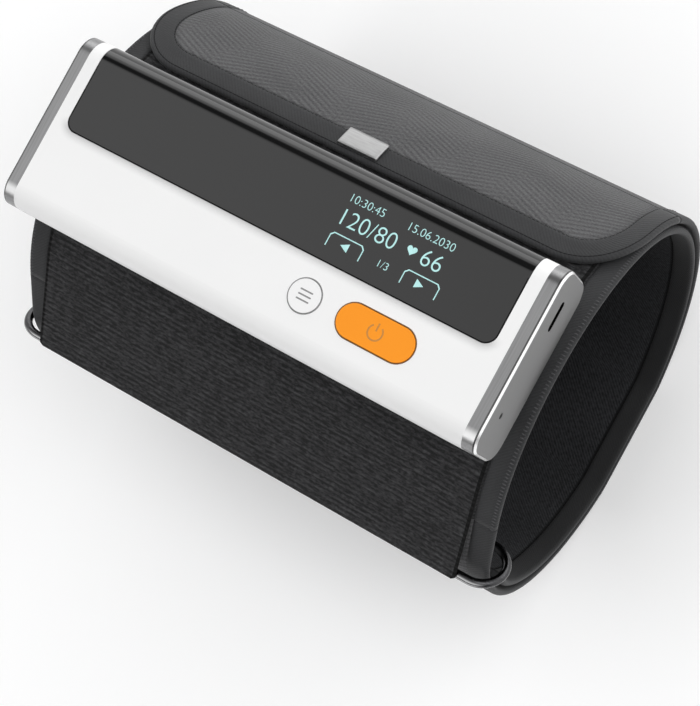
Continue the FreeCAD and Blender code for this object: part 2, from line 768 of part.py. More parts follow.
def make_end_caps():
    sub_part(fuse("end_cap_left", [cap_plate("left_plate", -1)] + cap_spigot("left_spigot", -1)),
             "end_cap_left")
    solid = fuse("right_cap_solid", [cap_plate("right_plate", 1)] + cap_spigot("right_spigot", 1))
    slot = rounded_prism(
        "port_slot", "YZ_Plane", "slot_length", "slot_width", "4*cap_width", "slot_width/2 - fit_gap/4",
        ("monitor_length/2", "monitor_y + port_y", f"{BOARD_BACK_Z} - socket_height/2"))
    pocket = block("port_pocket", "2*cap_width", "socket_width + 2*fit_gap", "socket_height + 2*fit_gap",
                   "monitor_length/2 - cap_face - 2*cap_width",
                   "monitor_y + port_y - socket_width/2 - fit_gap",
                   f"{BOARD_BACK_Z} - socket_height - fit_gap")
    light = rod("light_hole", "light_diameter/2 + fit_gap/2", "4*cap_width", "monitor_length/2 - 3*cap_width",
                "monitor_y + light_y", f"{FACE_Z} - light_drop", along_x=True)
    sub_part(cut("end_cap_right", solid, [slot, pocket, light]), "end_cap_right")


# Buttons: each has a flange behind the front wall and presses a switch on the board
FLANGE_Z = f"({INNER_FACE_Z} - fit_gap - flange_thickness)"
BUTTON_HEIGHT = f"({FACE_Z} + button_proud - {FLANGE_Z})"


def make_buttons():
    start_cap = stadium("start_cap", "(start_length - 2*button_gap)", "(start_width - 2*button_gap)",
                        BUTTON_HEIGHT, "start_x", "monitor_y + button_y", FLANGE_Z)
    start_flange = block("start_flange", "start_length + 2*flange_rim", "start_width + 2*flange_rim",
                         "flange_thickness", "start_x - start_length/2 - flange_rim",
                         "monitor_y + button_y - start_width/2 - flange_rim", FLANGE_Z)
    sub_part(fuse("start_stop_button", [start_cap, start_flange]), "start_stop_button")
    menu_cap = rod("menu_cap", "menu_diameter/2 - button_gap", BUTTON_HEIGHT, "menu_x",
                   "monitor_y + button_y", FLANGE_Z)
    menu_flange = post("menu_flange", "menu_diameter/2 + flange_rim", "flange_thickness", "menu_x",
                       "monitor_y + button_y", FLANGE_Z)
    sub_part(fuse("menu_button", [menu_cap, menu_flange]), "menu_button")


def make_switches():
    height = f"({FLANGE_Z} - button_travel - fit_gap - {BOARD_TOP_Z})"
    pieces = []
    for name in ("start", "menu"):
        pieces.append(block(
            f"{name}_switch", "switch_size", "switch_size", f"{height} - plunger_height",
            f"{name}_x - switch_size/2", "monitor_y + button_y - switch_size/2", BOARD_TOP_Z))
        pieces.append(post(f"{name}_plunger", "plunger_radius", height, f"{name}_x", "monitor_y + button_y",
                           BOARD_TOP_Z))
    sub_part(fuse("button_switches", pieces), "button_switches")


# Board with the display in front of it and the charging socket, light and battery behind
def make_board():
    blank = rounded_prism(
        "board_blank", "XY_Plane", "board_right - board_left", "board_width", "board_thickness",
        "board_corner", ("(board_left + board_right)/2", "monitor_y",
                         f"{BOARD_BACK_Z} + board_thickness/2"))
    notches = screw_posts("board_notch", "boss_radius + fit_gap", "4*board_thickness",
                          f"{BOARD_BACK_Z} - board_thickness")
    sub_part(cut("main_board", blank, notches), "main_board")


def make_display():
    sub_part(block("display_panel", "display_length", "display_height",
                   f"{INNER_FACE_Z} - fit_gap - {BOARD_TOP_Z}", "display_x - display_length/2",
                   "monitor_y + display_y - display_height/2", BOARD_TOP_Z), "display_panel")


def make_socket():
    end_x = "(monitor_length/2 - cap_face - fit_gap)"
    middle_z = f"({BOARD_BACK_Z} - socket_height/2)"
    shell = rounded_prism(
        "socket_shell", "YZ_Plane", "socket_width", "socket_height", "socket_length", "socket_corner",
        (f"{end_x} - socket_length/2", "monitor_y + port_y", middle_z))
    mouth = block("socket_mouth", "socket_length", "socket_width - 2*socket_wall",
                  "socket_height - 2*socket_wall", f"{end_x} - socket_length + socket_floor",
                  "monitor_y + port_y - socket_width/2 + socket_wall",
                  f"{middle_z} - socket_height/2 + socket_wall")
    tongue = block("socket_tongue", "socket_length - 2*socket_wall", "tongue_width", "tongue_thickness",
                   f"{end_x} - socket_length + socket_wall", "monitor_y + port_y - tongue_width/2",
                   f"{middle_z} - tongue_thickness/2")
    sub_part(fuse("charging_socket", [cut("socket_case", shell, [mouth]), tongue]), "charging_socket")


def make_light_pipe():
    sub_part(post("light_pipe", "light_diameter/2", "monitor_length/2 - board_right - fit_gap",
                  "board_right + fit_gap", "monitor_y + light_y", f"{FACE_Z} - light_drop", along_x=True),
             "light_pipe")


def make_battery():
    sub_part(rounded_prism(
        "battery_pack", "YZ_Plane", "battery_width", "battery_thickness", "battery_length", "battery_corner",
        ("battery_x", "monitor_y", f"{INNER_BACK_Z} + battery_thickness/2")), "battery_pack")


# Air system: motor and pump head, air block with the nozzle, valve and pressure sensor
PUMP_Z = f"({INNER_BACK_Z} + fit_gap + motor_radius + mount_thickness)"
HEAD_HALF = "(motor_radius + mount_thickness)"


def make_pump():
    motor = rod("motor_can", "motor_radius", "motor_length", "pump_x", "monitor_y + pump_y", PUMP_Z,
                along_x=True)
    cap = rod("motor_cap", "shaft_boss_radius", "motor_length + shaft_boss_length", "pump_x",
              "monitor_y + pump_y", PUMP_Z, along_x=True)
    sub_part(fuse("pump_motor", [motor, cap]), "pump_motor")
    sleeve = rounded_prism(
        "mount_sleeve", "YZ_Plane", f"2*{HEAD_HALF}", f"2*{HEAD_HALF}", "mount_length", "head_corner",
        ("pump_x + mount_offset + mount_length/2", "monitor_y + pump_y", PUMP_Z))
    bore = rod("mount_bore", "motor_radius", "mount_length + 2*cut_margin",
               "pump_x + mount_offset - cut_margin", "monitor_y + pump_y", PUMP_Z, along_x=True)
    sub_part(cut("pump_mount", sleeve, [bore]), "pump_mount")
    sub_part(rounded_prism(
        "pump_head", "YZ_Plane", f"2*{HEAD_HALF}", f"2*{HEAD_HALF}", "head_length", "head_corner",
        ("pump_x - head_length/2", "monitor_y + pump_y", PUMP_Z)), "pump_head")


def make_air_block():
    housing = block("air_housing", "head_length", "manifold_width", "manifold_height",
                    "pump_x - head_length", f"monitor_y + pump_y - {HEAD_HALF} - manifold_width",
                    INNER_BACK_Z)
    nozzle = rod("nozzle", "nozzle_radius", "nozzle_length + wall + fit_gap/2", "port_x", "0",
                 f"{BACK_Z} - nozzle_length")
    bore = rod("nozzle_channel", "nozzle_bore", "nozzle_length + wall + manifold_height/2", "port_x", "0",
               f"{BACK_Z} - nozzle_length - cut_margin")
    sub_part(cut("air_block", fuse("air_solid", [housing, nozzle]), [bore]), "air_block")
    valve_y = "monitor_y + valve_y"
    can = block("valve_can", "valve_length", "valve_size", "valve_size", "pump_x",
                f"{valve_y} - valve_size/2", INNER_BACK_Z)
    spout = post("valve_spout", "spout_radius", "valve_length + spout_length", "pump_x", valve_y,
                 f"{INNER_BACK_Z} + valve_size/2", along_x=True)
    sub_part(fuse("release_valve", [can, spout]), "release_valve")
    chip = block("sensor_chip", "sensor_size", "sensor_size", "sensor_height",
                 "pump_x - head_length/2 - sensor_size/2", f"{valve_y} - sensor_size/2",
                 f"{INNER_BACK_Z} + manifold_height")
    spigot = post("sensor_spigot", "spigot_radius", "sensor_height + spigot_length",
                  "pump_x - head_length/2", valve_y, f"{INNER_BACK_Z} + manifold_height")
    sub_part(fuse("pressure_sensor", [chip, spigot]), "pressure_sensor")


make_cuff_shell()
make_lining()
make_bladder()
make_wrap_strap()
for side, word in ((-1, "left"), (1, "right")):
    make_binding(f"shell_binding_{word}", shell_curve, INNER_DEPTH, side)
    make_binding(f"wrap_binding_{word}", strap_curve, 0, side)
make_front_cover()
make_ring()
make_ring_sleeve()
make_flap()
make_hook_patch()
make_pull_tab()
make_dock()
make_bladder_port()
make_case_back(make_case_front())
make_case_screws()
make_end_caps()
make_buttons()
make_switches()
make_board()
make_display()
make_socket()
make_light_pipe()
make_battery()
make_pump()
make_air_block()
doc.recompute()

failed = [item.Label for item in doc.Objects if {"Invalid", "Error"} & set(item.State)]
if failed:
    raise RuntimeError("not built: " + ", ".join(failed))
for item in parts:
    if item.Shape.isNull() or not item.Shape.isValid() or not item.Shape.Solids:
        raise RuntimeError("bad shape: " + item.Label)

os.makedirs("parts", exist_ok=True)
for item in parts:
    item.Shape.exportStep(f"parts/{item.Label}.step")
    print(item.Label, len(item.Shape.Solids), round(item.Shape.Volume, 1))
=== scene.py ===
import math

import bmesh
import bpy
import numpy as np
from mathutils import Matrix, Vector


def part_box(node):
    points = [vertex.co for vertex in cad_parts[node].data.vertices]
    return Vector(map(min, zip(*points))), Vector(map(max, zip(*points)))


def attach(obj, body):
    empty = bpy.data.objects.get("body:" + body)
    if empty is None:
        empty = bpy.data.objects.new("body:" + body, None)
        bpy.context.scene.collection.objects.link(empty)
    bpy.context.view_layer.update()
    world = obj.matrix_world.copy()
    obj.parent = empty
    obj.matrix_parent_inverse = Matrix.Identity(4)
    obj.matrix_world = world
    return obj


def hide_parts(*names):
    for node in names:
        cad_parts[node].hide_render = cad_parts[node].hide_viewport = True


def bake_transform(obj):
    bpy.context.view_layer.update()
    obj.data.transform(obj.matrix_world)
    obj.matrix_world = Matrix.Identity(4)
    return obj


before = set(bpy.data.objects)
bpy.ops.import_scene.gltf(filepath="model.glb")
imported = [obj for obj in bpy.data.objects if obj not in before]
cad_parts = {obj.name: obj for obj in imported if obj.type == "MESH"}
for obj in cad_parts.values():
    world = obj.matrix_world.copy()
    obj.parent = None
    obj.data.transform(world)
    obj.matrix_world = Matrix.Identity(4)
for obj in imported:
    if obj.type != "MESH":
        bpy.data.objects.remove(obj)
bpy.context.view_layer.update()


# Arm lining
# The face of the cuff that lies against the arm: one panel of close dark twill, rolled once round
# and curled inwards at its free end. Its edges are sewn into the binding tapes.
TUBE_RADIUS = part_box("wrap_strap")[1].y
REST_DEPTH = 0.0025
REST_BLEND = 0.014
LAYER = 0.002
LAYER_GAP = 0.0009
INNER_DEPTH = LAYER + LAYER_GAP
BINDING_WIDTH = 0.006
CUFF_X = (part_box("wrap_binding_left")[0].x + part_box("wrap_binding_right")[1].x) / 2
CUFF_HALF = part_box("wrap_binding_right")[1].x - CUFF_X
FIELD_HALF = CUFF_HALF - BINDING_WIDTH
TUBE_CENTRE = np.array([0.0, TUBE_RADIUS - REST_DEPTH])
BLEND_REACH = math.sqrt(REST_DEPTH * (2 * (TUBE_RADIUS - REST_BLEND) - REST_DEPTH))
BLEND_TURN = math.degrees(math.atan2(BLEND_REACH, TUBE_CENTRE[1] - REST_BLEND))
STRAP_JOINT_ANGLE = 140
CURL_RADIUS = 0.025
CURL_TURN_ANGLE = 186
CURL_END_ANGLE = 165
LINING_THICKNESS = 0.0006
LINING_SINK = 0.0001
LINING_SEAM_SHADE = 0.0007
LINING_PITCH = 0.0011
TWILL_WORN = (0.03, 0.02)
TWILL_RELIEF = 0.0002
CLOTH_STEP = 0.0015
CLOTH_SWAY = 0.00005
SWAY_WAVES = ((137, 41), (29, 83))


def direction(angle):
    """The direction at an angle in the cuff's cross-section, counted from +Y towards +Z."""
    turn = math.radians(angle)
    return np.array([math.cos(turn), math.sin(turn)])


def arc_run(centre, radius, start, end, step=CLOTH_STEP):
    """Points of an arc in the cuff's cross-section, with the directions that point outwards."""
    count = max(3, math.ceil(abs(math.radians(end - start)) * radius / step) + 1)
    outward = np.array([direction(angle) for angle in np.linspace(start, end, count)])
    return np.array(centre) + radius * outward, outward


def straight_run(first, last, outward, step=CLOTH_STEP):
    """Points of a straight stretch in the cross-section, all with one outward direction."""
    count = max(2, math.ceil(np.linalg.norm(np.subtract(last, first)) / step) + 1)
    share = np.linspace(0, 1, count)[:, None]
    return np.array(first) + share * np.subtract(last, first), np.tile(outward, (count, 1))


def join_runs(*runs):
    """One run from several that follow each other, with the length along it."""
    points = np.concatenate([runs[0][0]] + [run[0][1:] for run in runs[1:]])
    outward = np.concatenate([runs[0][1]] + [run[1][1:] for run in runs[1:]])
    along = np.concatenate([[0], np.cumsum(np.linalg.norm(np.diff(points, axis=0), axis=1))])
    return points, outward, along


def round_the_table(start, end):
    """The cuff's round from start to end, flattened where it lies on the table."""
    left = np.array([-BLEND_REACH, REST_BLEND])
    right = np.array([BLEND_REACH, REST_BLEND])
    return [
        arc_run(TUBE_CENTRE, TUBE_RADIUS, start, 270 - BLEND_TURN),
        arc_run(left, REST_BLEND, 270 - BLEND_TURN, 270),
        straight_run((-BLEND_REACH, 0), (BLEND_REACH, 0), direction(270)),
        arc_run(right, REST_BLEND, 270, 270 + BLEND_TURN),
        arc_run(TUBE_CENTRE, TUBE_RADIUS, 270 + BLEND_TURN, end),
    ]


SHELL_MIDDLE = TUBE_RADIUS - INNER_DEPTH - LAYER / 2
CURL_CENTRE = TUBE_CENTRE + (SHELL_MIDDLE - CURL_RADIUS) * direction(CURL_TURN_ANGLE)
shell_run = join_runs(
    arc_run(CURL_CENTRE, CURL_RADIUS + INNER_DEPTH + LAYER / 2, CURL_END_ANGLE, CURL_TURN_ANGLE),
    *round_the_table(CURL_TURN_ANGLE, 360 + STRAP_JOINT_ANGLE),
)


def flat_section(left, right, top, bottom, columns=40, rounding=4):
    """A strip's cross-section with round edges: x across, depth below the outer face."""
    radius = (bottom - top) / 2
    middle = (bottom + top) / 2
    across = np.linspace(left + radius, right - radius, columns)
    turns = np.linspace(0, math.pi, rounding + 2)[1:-1]
    upper = [(x, top) for x in across]
    right_edge = [(right - radius + radius * math.sin(t), middle - radius * math.cos(t)) for t in turns]
    lower = [(x, bottom) for x in across[::-1]]
    left_edge = [(left + radius - radius * math.sin(t), middle + radius * math.cos(t)) for t in turns]
    return np.array(upper + right_edge + lower + left_edge)


def face_outwards(mesh):
    """Turn the faces of a closed mesh outwards and shade them smooth."""
    shaper = bmesh.new()
    shaper.from_mesh(mesh)
    bmesh.ops.recalc_face_normals(shaper, faces=shaper.faces)
    shaper.to_mesh(mesh)
    shaper.free()
    mesh.shade_smooth()


def cloth_mesh(name, places, cloth_map, **marks):
    """A closed strip from rows of section points, with a map in metres across and along it."""
    rows, columns = places.shape[:2]
    mesh = bpy.data.meshes.new(name)
    index = np.arange(rows * columns).reshape(rows, columns)
    following = np.roll(index, -1, axis=1)
    quads = np.stack([index[:-1], following[:-1], following[1:], index[1:]], -1).reshape(-1, 4)
    faces = quads.tolist() + [index[0].tolist(), index[-1][::-1].tolist()]
    mesh.from_pydata(places.reshape(-1, 3).tolist(), [], faces)
    corner = np.zeros(len(mesh.loops), np.int32)
    mesh.loops.foreach_get("vertex_index", corner)
    layer = mesh.uv_layers.new(name="cloth")
    layer.uv.foreach_set("vector", cloth_map.reshape(-1, 2)[corner].astype(np.float32).ravel())
    for label, values in (("along", cloth_map[..., 1]), *marks.items()):
        attribute = mesh.attributes.new(label, "FLOAT", "POINT")
        attribute.data.foreach_set("value", values.astype(np.float32).ravel())
    face_outwards(mesh)
    for end in mesh.polygons[-2:]:
        end.use_smooth = False
    return mesh


def new_piece(name, data):
    """A new object in the scene, at the origin."""
    piece = bpy.data.objects.new(name, data)
    bpy.context.scene.collection.objects.link(piece)
    return piece


def swept_strip(name, run, section, sway=0.0):
    """Sweep a section along a run. sway is how far the cloth wavers from a perfect round."""
    points, outward, along = run
    x, depth = section.T
    one_wave, other_wave = (
        np.sin(along[:, None] * lengthwise + x[None] * crosswise) for lengthwise, crosswise in SWAY_WAVES)
    level = sway * one_wave * other_wave - depth[None]
    places = np.empty((len(points), len(section), 3))
    places[..., 0] = CUFF_X + x
    places[..., 1:] = points[:, None] + outward[:, None] * level[..., None]
    cloth_map = np.stack(np.broadcast_arrays(x[None], along[:, None]), -1)
    under = np.broadcast_to((depth - depth.min()) / np.ptp(depth), level.shape)
    return new_piece(name, cloth_mesh(name, places, cloth_map, under=under, top=under == 0))


def finish_nodes(material):
    """A material's node tree and its surface shader."""
    return material.node_tree, material.node_tree.nodes["Principled BSDF"]


def new_finish(name):
    """A new material with its node tree and its surface shader."""
    material = bpy.data.materials.new(name)
    material.use_nodes = True
    return material, *finish_nodes(material)


def set_surface(shader, **levels):
    """Set plain values on a surface shader. An underscore stands for a space in a value's name."""
    for label, level in levels.items():
        shader.inputs[label.replace("_", " ")].default_value = level


def sums(tree, kind, first, second=None):
    """A Math node on two inputs, each a number or another node's output."""
    node = tree.nodes.new("ShaderNodeMath")
    node.operation = kind
    for socket, value in zip(node.inputs, (first, second)):
        if isinstance(value, (int, float)):
            socket.default_value = value
        elif value is not None:
            tree.links.new(value, socket)
    return node.outputs[0]


def weighted(tree, *parts):
    """The sum of several outputs, each times its own share."""
    total, *others = [sums(tree, "MULTIPLY", output, share) for output, share in parts]
    for other in others:
        total = sums(tree, "ADD", total, other)
    return total


def one_minus(tree, value):
    """One less a value."""
    return sums(tree, "SUBTRACT", 1.0, value)


def cloth_places(tree):
    """Metres across and along the cloth, from its own map."""
    cloth_map = tree.nodes.new("ShaderNodeUVMap")
    cloth_map.uv_map = "cloth"
    split = tree.nodes.new("ShaderNodeSeparateXYZ")
    tree.links.new(cloth_map.outputs[0], split.inputs[0])
    return split.outputs[0], split.outputs[1]


def waves(tree, place, pitch):
    """Even waves along a place, one to each pitch."""
    return sums(tree, "SINE", sums(tree, "MULTIPLY", place, 2 * math.pi / pitch))


def flecks(tree, across, along, size_across, size_along, detail=2.0):
    """Noise whose grains have the given size across and along the cloth."""
    joined = tree.nodes.new("ShaderNodeCombineXYZ")
    tree.links.new(sums(tree, "DIVIDE", across, size_across), joined.inputs[0])
    tree.links.new(sums(tree, "DIVIDE", along, size_along), joined.inputs[1])
    noise = tree.nodes.new("ShaderNodeTexNoise")
    noise.inputs["Scale"].default_value = 1.0
    noise.inputs["Detail"].default_value = detail
    tree.links.new(joined.outputs[0], noise.inputs["Vector"])
    return noise.outputs["Fac"]


def shade_between(tree, shader, factor, dark, light, low=0.3, high=0.7):
    """Colour a surface from dark to light as the factor goes from low to high."""
    ramp = tree.nodes.new("ShaderNodeValToRGB")
    for stop, place, colour in zip(ramp.color_ramp.elements, (low, high), (dark, light)):
        stop.position = place
        stop.color = (*colour, 1)
    tree.links.new(factor, ramp.inputs[0])
    tree.links.new(ramp.outputs[0], shader.inputs["Base Color"])


def raise_by(tree, shader, height, distance, strength=1.0):
    """Fine relief on a surface. distance is how far a height of one rises, in metres."""
    bump = tree.nodes.new("ShaderNodeBump")
    bump.inputs["Distance"].default_value = distance
    bump.inputs["Strength"].default_value = strength
    tree.links.new(height, bump.inputs["Height"])
    tree.links.new(bump.outputs[0], shader.inputs["Normal"])


def twill_finish(name, dark, light, pitch, sheen, shade_from=1.0):
    """Close twill: slanting ribs with uneven yarn, and painted shade from a given distance across outwards,
    beside the seam.
    """
    material, tree, shader = new_finish(name)
    across, along = cloth_places(tree)
    ribs = waves(tree, sums(tree, "ADD", across, along), pitch)
    yarn = flecks(tree, across, along, pitch * 0.9, pitch * 0.9)
    worn = flecks(tree, across, along, *TWILL_WORN)
    height = weighted(tree, (ribs, 0.17), (yarn, 1.0))
    # Painted shade in the band beside the seam.
    seam_shade = sums(tree, "GREATER_THAN", sums(tree, "ABSOLUTE", across), shade_from)
    tone = weighted(tree, (height, 0.7), (worn, 0.3), (seam_shade, -1.0))
    shade_between(tree, shader, tone, dark, light)
    raise_by(tree, shader, height, TWILL_RELIEF)
    set_surface(shader, Roughness=0.9, Specular_IOR_Level=0.2, Sheen_Weight=sheen, Sheen_Roughness=0.5)
    return material


lining_section = flat_section(
    -FIELD_HALF, FIELD_HALF, INNER_DEPTH + LAYER - LINING_THICKNESS, INNER_DEPTH + LAYER - LINING_SINK)
lining = swept_strip("arm_lining_cloth", shell_run, lining_section, sway=CLOTH_SWAY)
# The lining has painted shade in a narrow band along each edge, beside the seam.
lining.data.materials.append(twill_finish(
    "lining_twill", (0.0066, 0.0068, 0.0075), (0.028, 0.0287, 0.0315), LINING_PITCH, 0.02,
    shade_from=FIELD_HALF - LINING_SEAM_SHADE))
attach(lining, "cuff")
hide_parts("arm_lining")


# Cuff shell
# The outer cloth of the inner layer. It is glued to the flat air bladder, which lies between it
# and the lining, and most of it is covered by the ribbed front.
SHELL_AND_BLADDER = 0.00135
SHELL_SINK = 0.0002
SHELL_PITCH = 0.0012
shell_section = flat_section(
    -FIELD_HALF, FIELD_HALF, INNER_DEPTH + SHELL_SINK, INNER_DEPTH + SHELL_AND_BLADDER)
shell = swept_strip("cuff_shell_cloth", shell_run, shell_section, sway=CLOTH_SWAY)
shell.data.materials.append(
    twill_finish("cuff_twill", (0.018, 0.018, 0.019), (0.045, 0.045, 0.047), SHELL_PITCH, 0.05))
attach(shell, "cuff")
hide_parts("cuff_shell", "air_bladder")


# Outer strap
# The outer layer of the cuff: it starts at the strap joint, steps outwards over the inner layer and
# goes round the back, where it carries the cuff on the table, and up to the flap.
FLAP_HINGE_ANGLE = 20
STRAP_SINK = 0.0002
WEAVE_PITCH = 0.0015
WEAVE_RELIEF = 0.00018
WEAVE_WORN = (0.025, 0.012)
LEAN_WIDTH = 0.034
LEAN_STRAY = 5
LINE_ACROSS = 0.42
LINE_ALONG = 0.91


def strap_path():
    """The strap's way from its joint outwards over the inner layer and round the back to the flap."""
    middle = TUBE_RADIUS - LAYER / 2
    outward = direction(STRAP_JOINT_ANGLE)
    onward = direction(STRAP_JOINT_ANGLE + 90)
    reach = math.sqrt((middle - CURL_RADIUS) ** 2 - (SHELL_MIDDLE - CURL_RADIUS) ** 2)
    turn_centre = TUBE_CENTRE + outward * (SHELL_MIDDLE - CURL_RADIUS) + onward * reach
    turn_end = STRAP_JOINT_ANGLE + math.degrees(math.atan2(reach, SHELL_MIDDLE - CURL_RADIUS))
    start = TUBE_CENTRE + outward * (SHELL_MIDDLE + LAYER / 2)
    return join_runs(
        straight_run(start, start + onward * reach, outward),
        arc_run(turn_centre, CURL_RADIUS + LAYER / 2, STRAP_JOINT_ANGLE, turn_end),
        *round_the_table(turn_end, 360 + FLAP_HINGE_ANGLE),
    )


strap_points, strap_outward, strap_along = strap_path()
STRAP_LENGTH = float(strap_along[-1])
strap_run = strap_points, strap_outward, shell_run[2][-1] + strap_along
strap_section = flat_section(-FIELD_HALF, FIELD_HALF, STRAP_SINK, LAYER - STRAP_SINK)
strap = swept_strip("wrap_strap_cloth", strap_run, strap_section)


def herringbone_finish(name, dark, light):
    """Woven cloth whose fine slanting lines lean one way and then the other across it."""
    material, tree, shader = new_finish(name)
    across, along = cloth_places(tree)
    worn = flecks(tree, across, along, *WEAVE_WORN)
    lean = weighted(tree, (across, 2 * math.pi / LEAN_WIDTH), (worn, LEAN_STRAY))
    share = sums(tree, "ADD", sums(tree, "MULTIPLY", sums(tree, "SINE", lean), 0.5), 0.5)
    slant = sums(tree, "MULTIPLY", across, LINE_ACROSS)
    steep = sums(tree, "MULTIPLY", along, LINE_ALONG)
    rising = waves(tree, sums(tree, "ADD", steep, slant), WEAVE_PITCH)
    falling = waves(tree, sums(tree, "SUBTRACT", steep, slant), WEAVE_PITCH)
    lines = sums(tree, "ADD", sums(tree, "MULTIPLY", rising, share),
                 sums(tree, "MULTIPLY", falling, one_minus(tree, share)))
    yarn = flecks(tree, across, along, WEAVE_PITCH * 0.4, WEAVE_PITCH * 0.3)
    height = weighted(tree, (lines, 0.15), (yarn, 1.0))
    tone = weighted(tree, (height, 0.75), (worn, 0.25))
    shade_between(tree, shader, tone, dark, light)
    raise_by(tree, shader, height, WEAVE_RELIEF)
    set_surface(shader, Roughness=0.85, Specular_IOR_Level=0.25, Sheen_Weight=0.08, Sheen_Roughness=0.4)
    return material


field_weave = herringbone_finish("field_weave", (0.0525, 0.0525, 0.0545), (0.1225, 0.1225, 0.1255))
strap.data.materials.append(field_weave)
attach(strap, "cuff")
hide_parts("wrap_strap")


# Binding tapes
# Smooth woven tape folded over each edge of both layers and sewn through. The tape stands a little
# proud of the cloth and is rounded where it folds.
TAPE_SHOULDER = 0.0012
TAPE_SINK = 0.00022
TAPE_LAP = 0.0002
SHOULDER_POINTS = 4
FLAT_POINTS = 5
FOLD_POINTS = 9
TAPE_PITCH = 0.001
TAPE_YARN = (0.0008, 0.0004)
TAPE_WORN = (0.006, 0.02)
TAPE_RELIEF = 0.0001
INNER_SIDE = 0.8
INNER_PAINTED_SHADE = 0.55


def tape_section(side, top, bottom):
    """A folded tape's cross-section: round at the cuff's edge, easing down to the cloth inside."""
    radius = (bottom - top) / 2
    middle = (bottom + top) / 2
    inner, outer = FIELD_HALF - TAPE_LAP, CUFF_HALF
    flat = np.linspace(inner + TAPE_SHOULDER, outer - radius, FLAT_POINTS)
    ease = np.linspace(0, 1, SHOULDER_POINTS)[:-1]
    upper = [(inner + TAPE_SHOULDER * e, top + TAPE_SINK * (1 - e) ** 2) for e in ease]
    upper += [(x, top) for x in flat]
    turns = np.linspace(0, math.pi, FOLD_POINTS)[1:-1]
    edge = [(outer - radius + radius * math.sin(t), middle - radius * math.cos(t)) for t in turns]
    lower = [(x, bottom + top - depth) for x, depth in upper[::-1]]
    section = np.array(upper + edge + lower)
    section[:, 0] *= side
    return section


def dim_where(tree, shader, mask, depth):
    """Darken the colour that a shader already has, by a depth where the mask is one."""
    dimmed = tree.nodes.new("ShaderNodeHueSaturation")
    kept = one_minus(tree, sums(tree, "MULTIPLY", mask, depth))
    tree.links.new(kept, dimmed.inputs["Value"])
    tree.links.new(shader.inputs["Base Color"].links[0].from_socket, dimmed.inputs["Color"])
    tree.links.new(dimmed.outputs[0], shader.inputs["Base Color"])


def tape_finish(name, dark, light):
    """Smooth tape: very fine slanting ribs, a soft sheen, and painted shade on the side towards the arm."""
    material, tree, shader = new_finish(name)
    across, along = cloth_places(tree)
    ribs = waves(tree, sums(tree, "ADD", along, across), TAPE_PITCH)
    yarn = flecks(tree, across, along, *TAPE_YARN)
    worn = flecks(tree, across, along, *TAPE_WORN)
    height = weighted(tree, (ribs, 0.13), (yarn, 0.65))
    tone = weighted(tree, (height, 0.6), (worn, 0.5))
    shade_between(tree, shader, tone, dark, light)
    under = tree.nodes.new("ShaderNodeAttribute")
    under.attribute_name = "under"
    # Painted shade on the tape's inner face, the side towards the arm.
    dim_where(tree, shader, sums(tree, "GREATER_THAN", under.outputs["Fac"], INNER_SIDE), INNER_PAINTED_SHADE)
    raise_by(tree, shader, height, TAPE_RELIEF)
    set_surface(shader, Roughness=0.7, Specular_IOR_Level=0.3, Sheen_Weight=0.06)
    return material


binding_tape = tape_finish("binding_tape", (0.02, 0.0204, 0.0216), (0.035, 0.0356, 0.0376))
for side, word in ((-1, "left"), (1, "right")):
    for layer_name, run, top in (("shell", shell_run, INNER_DEPTH), ("wrap", strap_run, 0.0)):
        tape = swept_strip(f"{layer_name}_tape_{word}", run, tape_section(side, top, top + LAYER))
        tape.data.materials.append(binding_tape)
        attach(tape, "cuff")
        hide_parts(f"{layer_name}_binding_{word}")


# Seams
# Rows of lockstitch that hold the tapes on, in thread close to the tape's colour, and short overcast
# ticks along the rim of the inner layer. Each stitch is a soft bead of polyester on the cloth.
STITCH = {"Pitch": 0.0026, "Length": 0.0019, "Width": 0.0004, "Height": 0.00024}
CHAIN = {"Pitch": 0.0012, "Length": 0.0015, "Width": 0.0003, "Height": 0.0003}
TICK = {"Pitch": 0.001, "Length": 0.0004, "Width": 0.0012, "Height": 0.0003}
SEAM_INSET = 0.0011
TICK_INSET = 0.001
THREAD_TWIST = 2500


def new_tree(name, **kinds):
    """A geometry node tree with the named inputs, and its ends."""
    tree = bpy.data.node_groups.new(name, "GeometryNodeTree")
    for label, kind in {"Geometry": "Geometry", **kinds}.items():
        tree.interface.new_socket(label, in_out="INPUT", socket_type="NodeSocket" + kind)
    tree.interface.new_socket("Geometry", in_out="OUTPUT", socket_type="NodeSocketGeometry")
    return tree, tree.nodes.new("NodeGroupInput"), tree.nodes.new("NodeGroupOutput")


def link_all(tree, *pairs):
    """Link each output to its input."""
    for output, target in pairs:
        tree.links.new(output, target)


def grow(piece, tree, **inputs):
    """Run a node tree on a piece with its inputs set, and keep the result as a plain mesh."""
    modifier = piece.modifiers.new(tree.name, "NODES")
    modifier.node_group = tree
    for socket in tree.interface.items_tree:
        if socket.in_out == "INPUT" and socket.name in inputs:
            modifier[socket.identifier] = inputs[socket.name]
    graph = bpy.context.evaluated_depsgraph_get()
    mesh = bpy.data.meshes.new_from_object(piece.evaluated_get(graph))
    piece.modifiers.clear()
    piece.data = mesh
    return piece


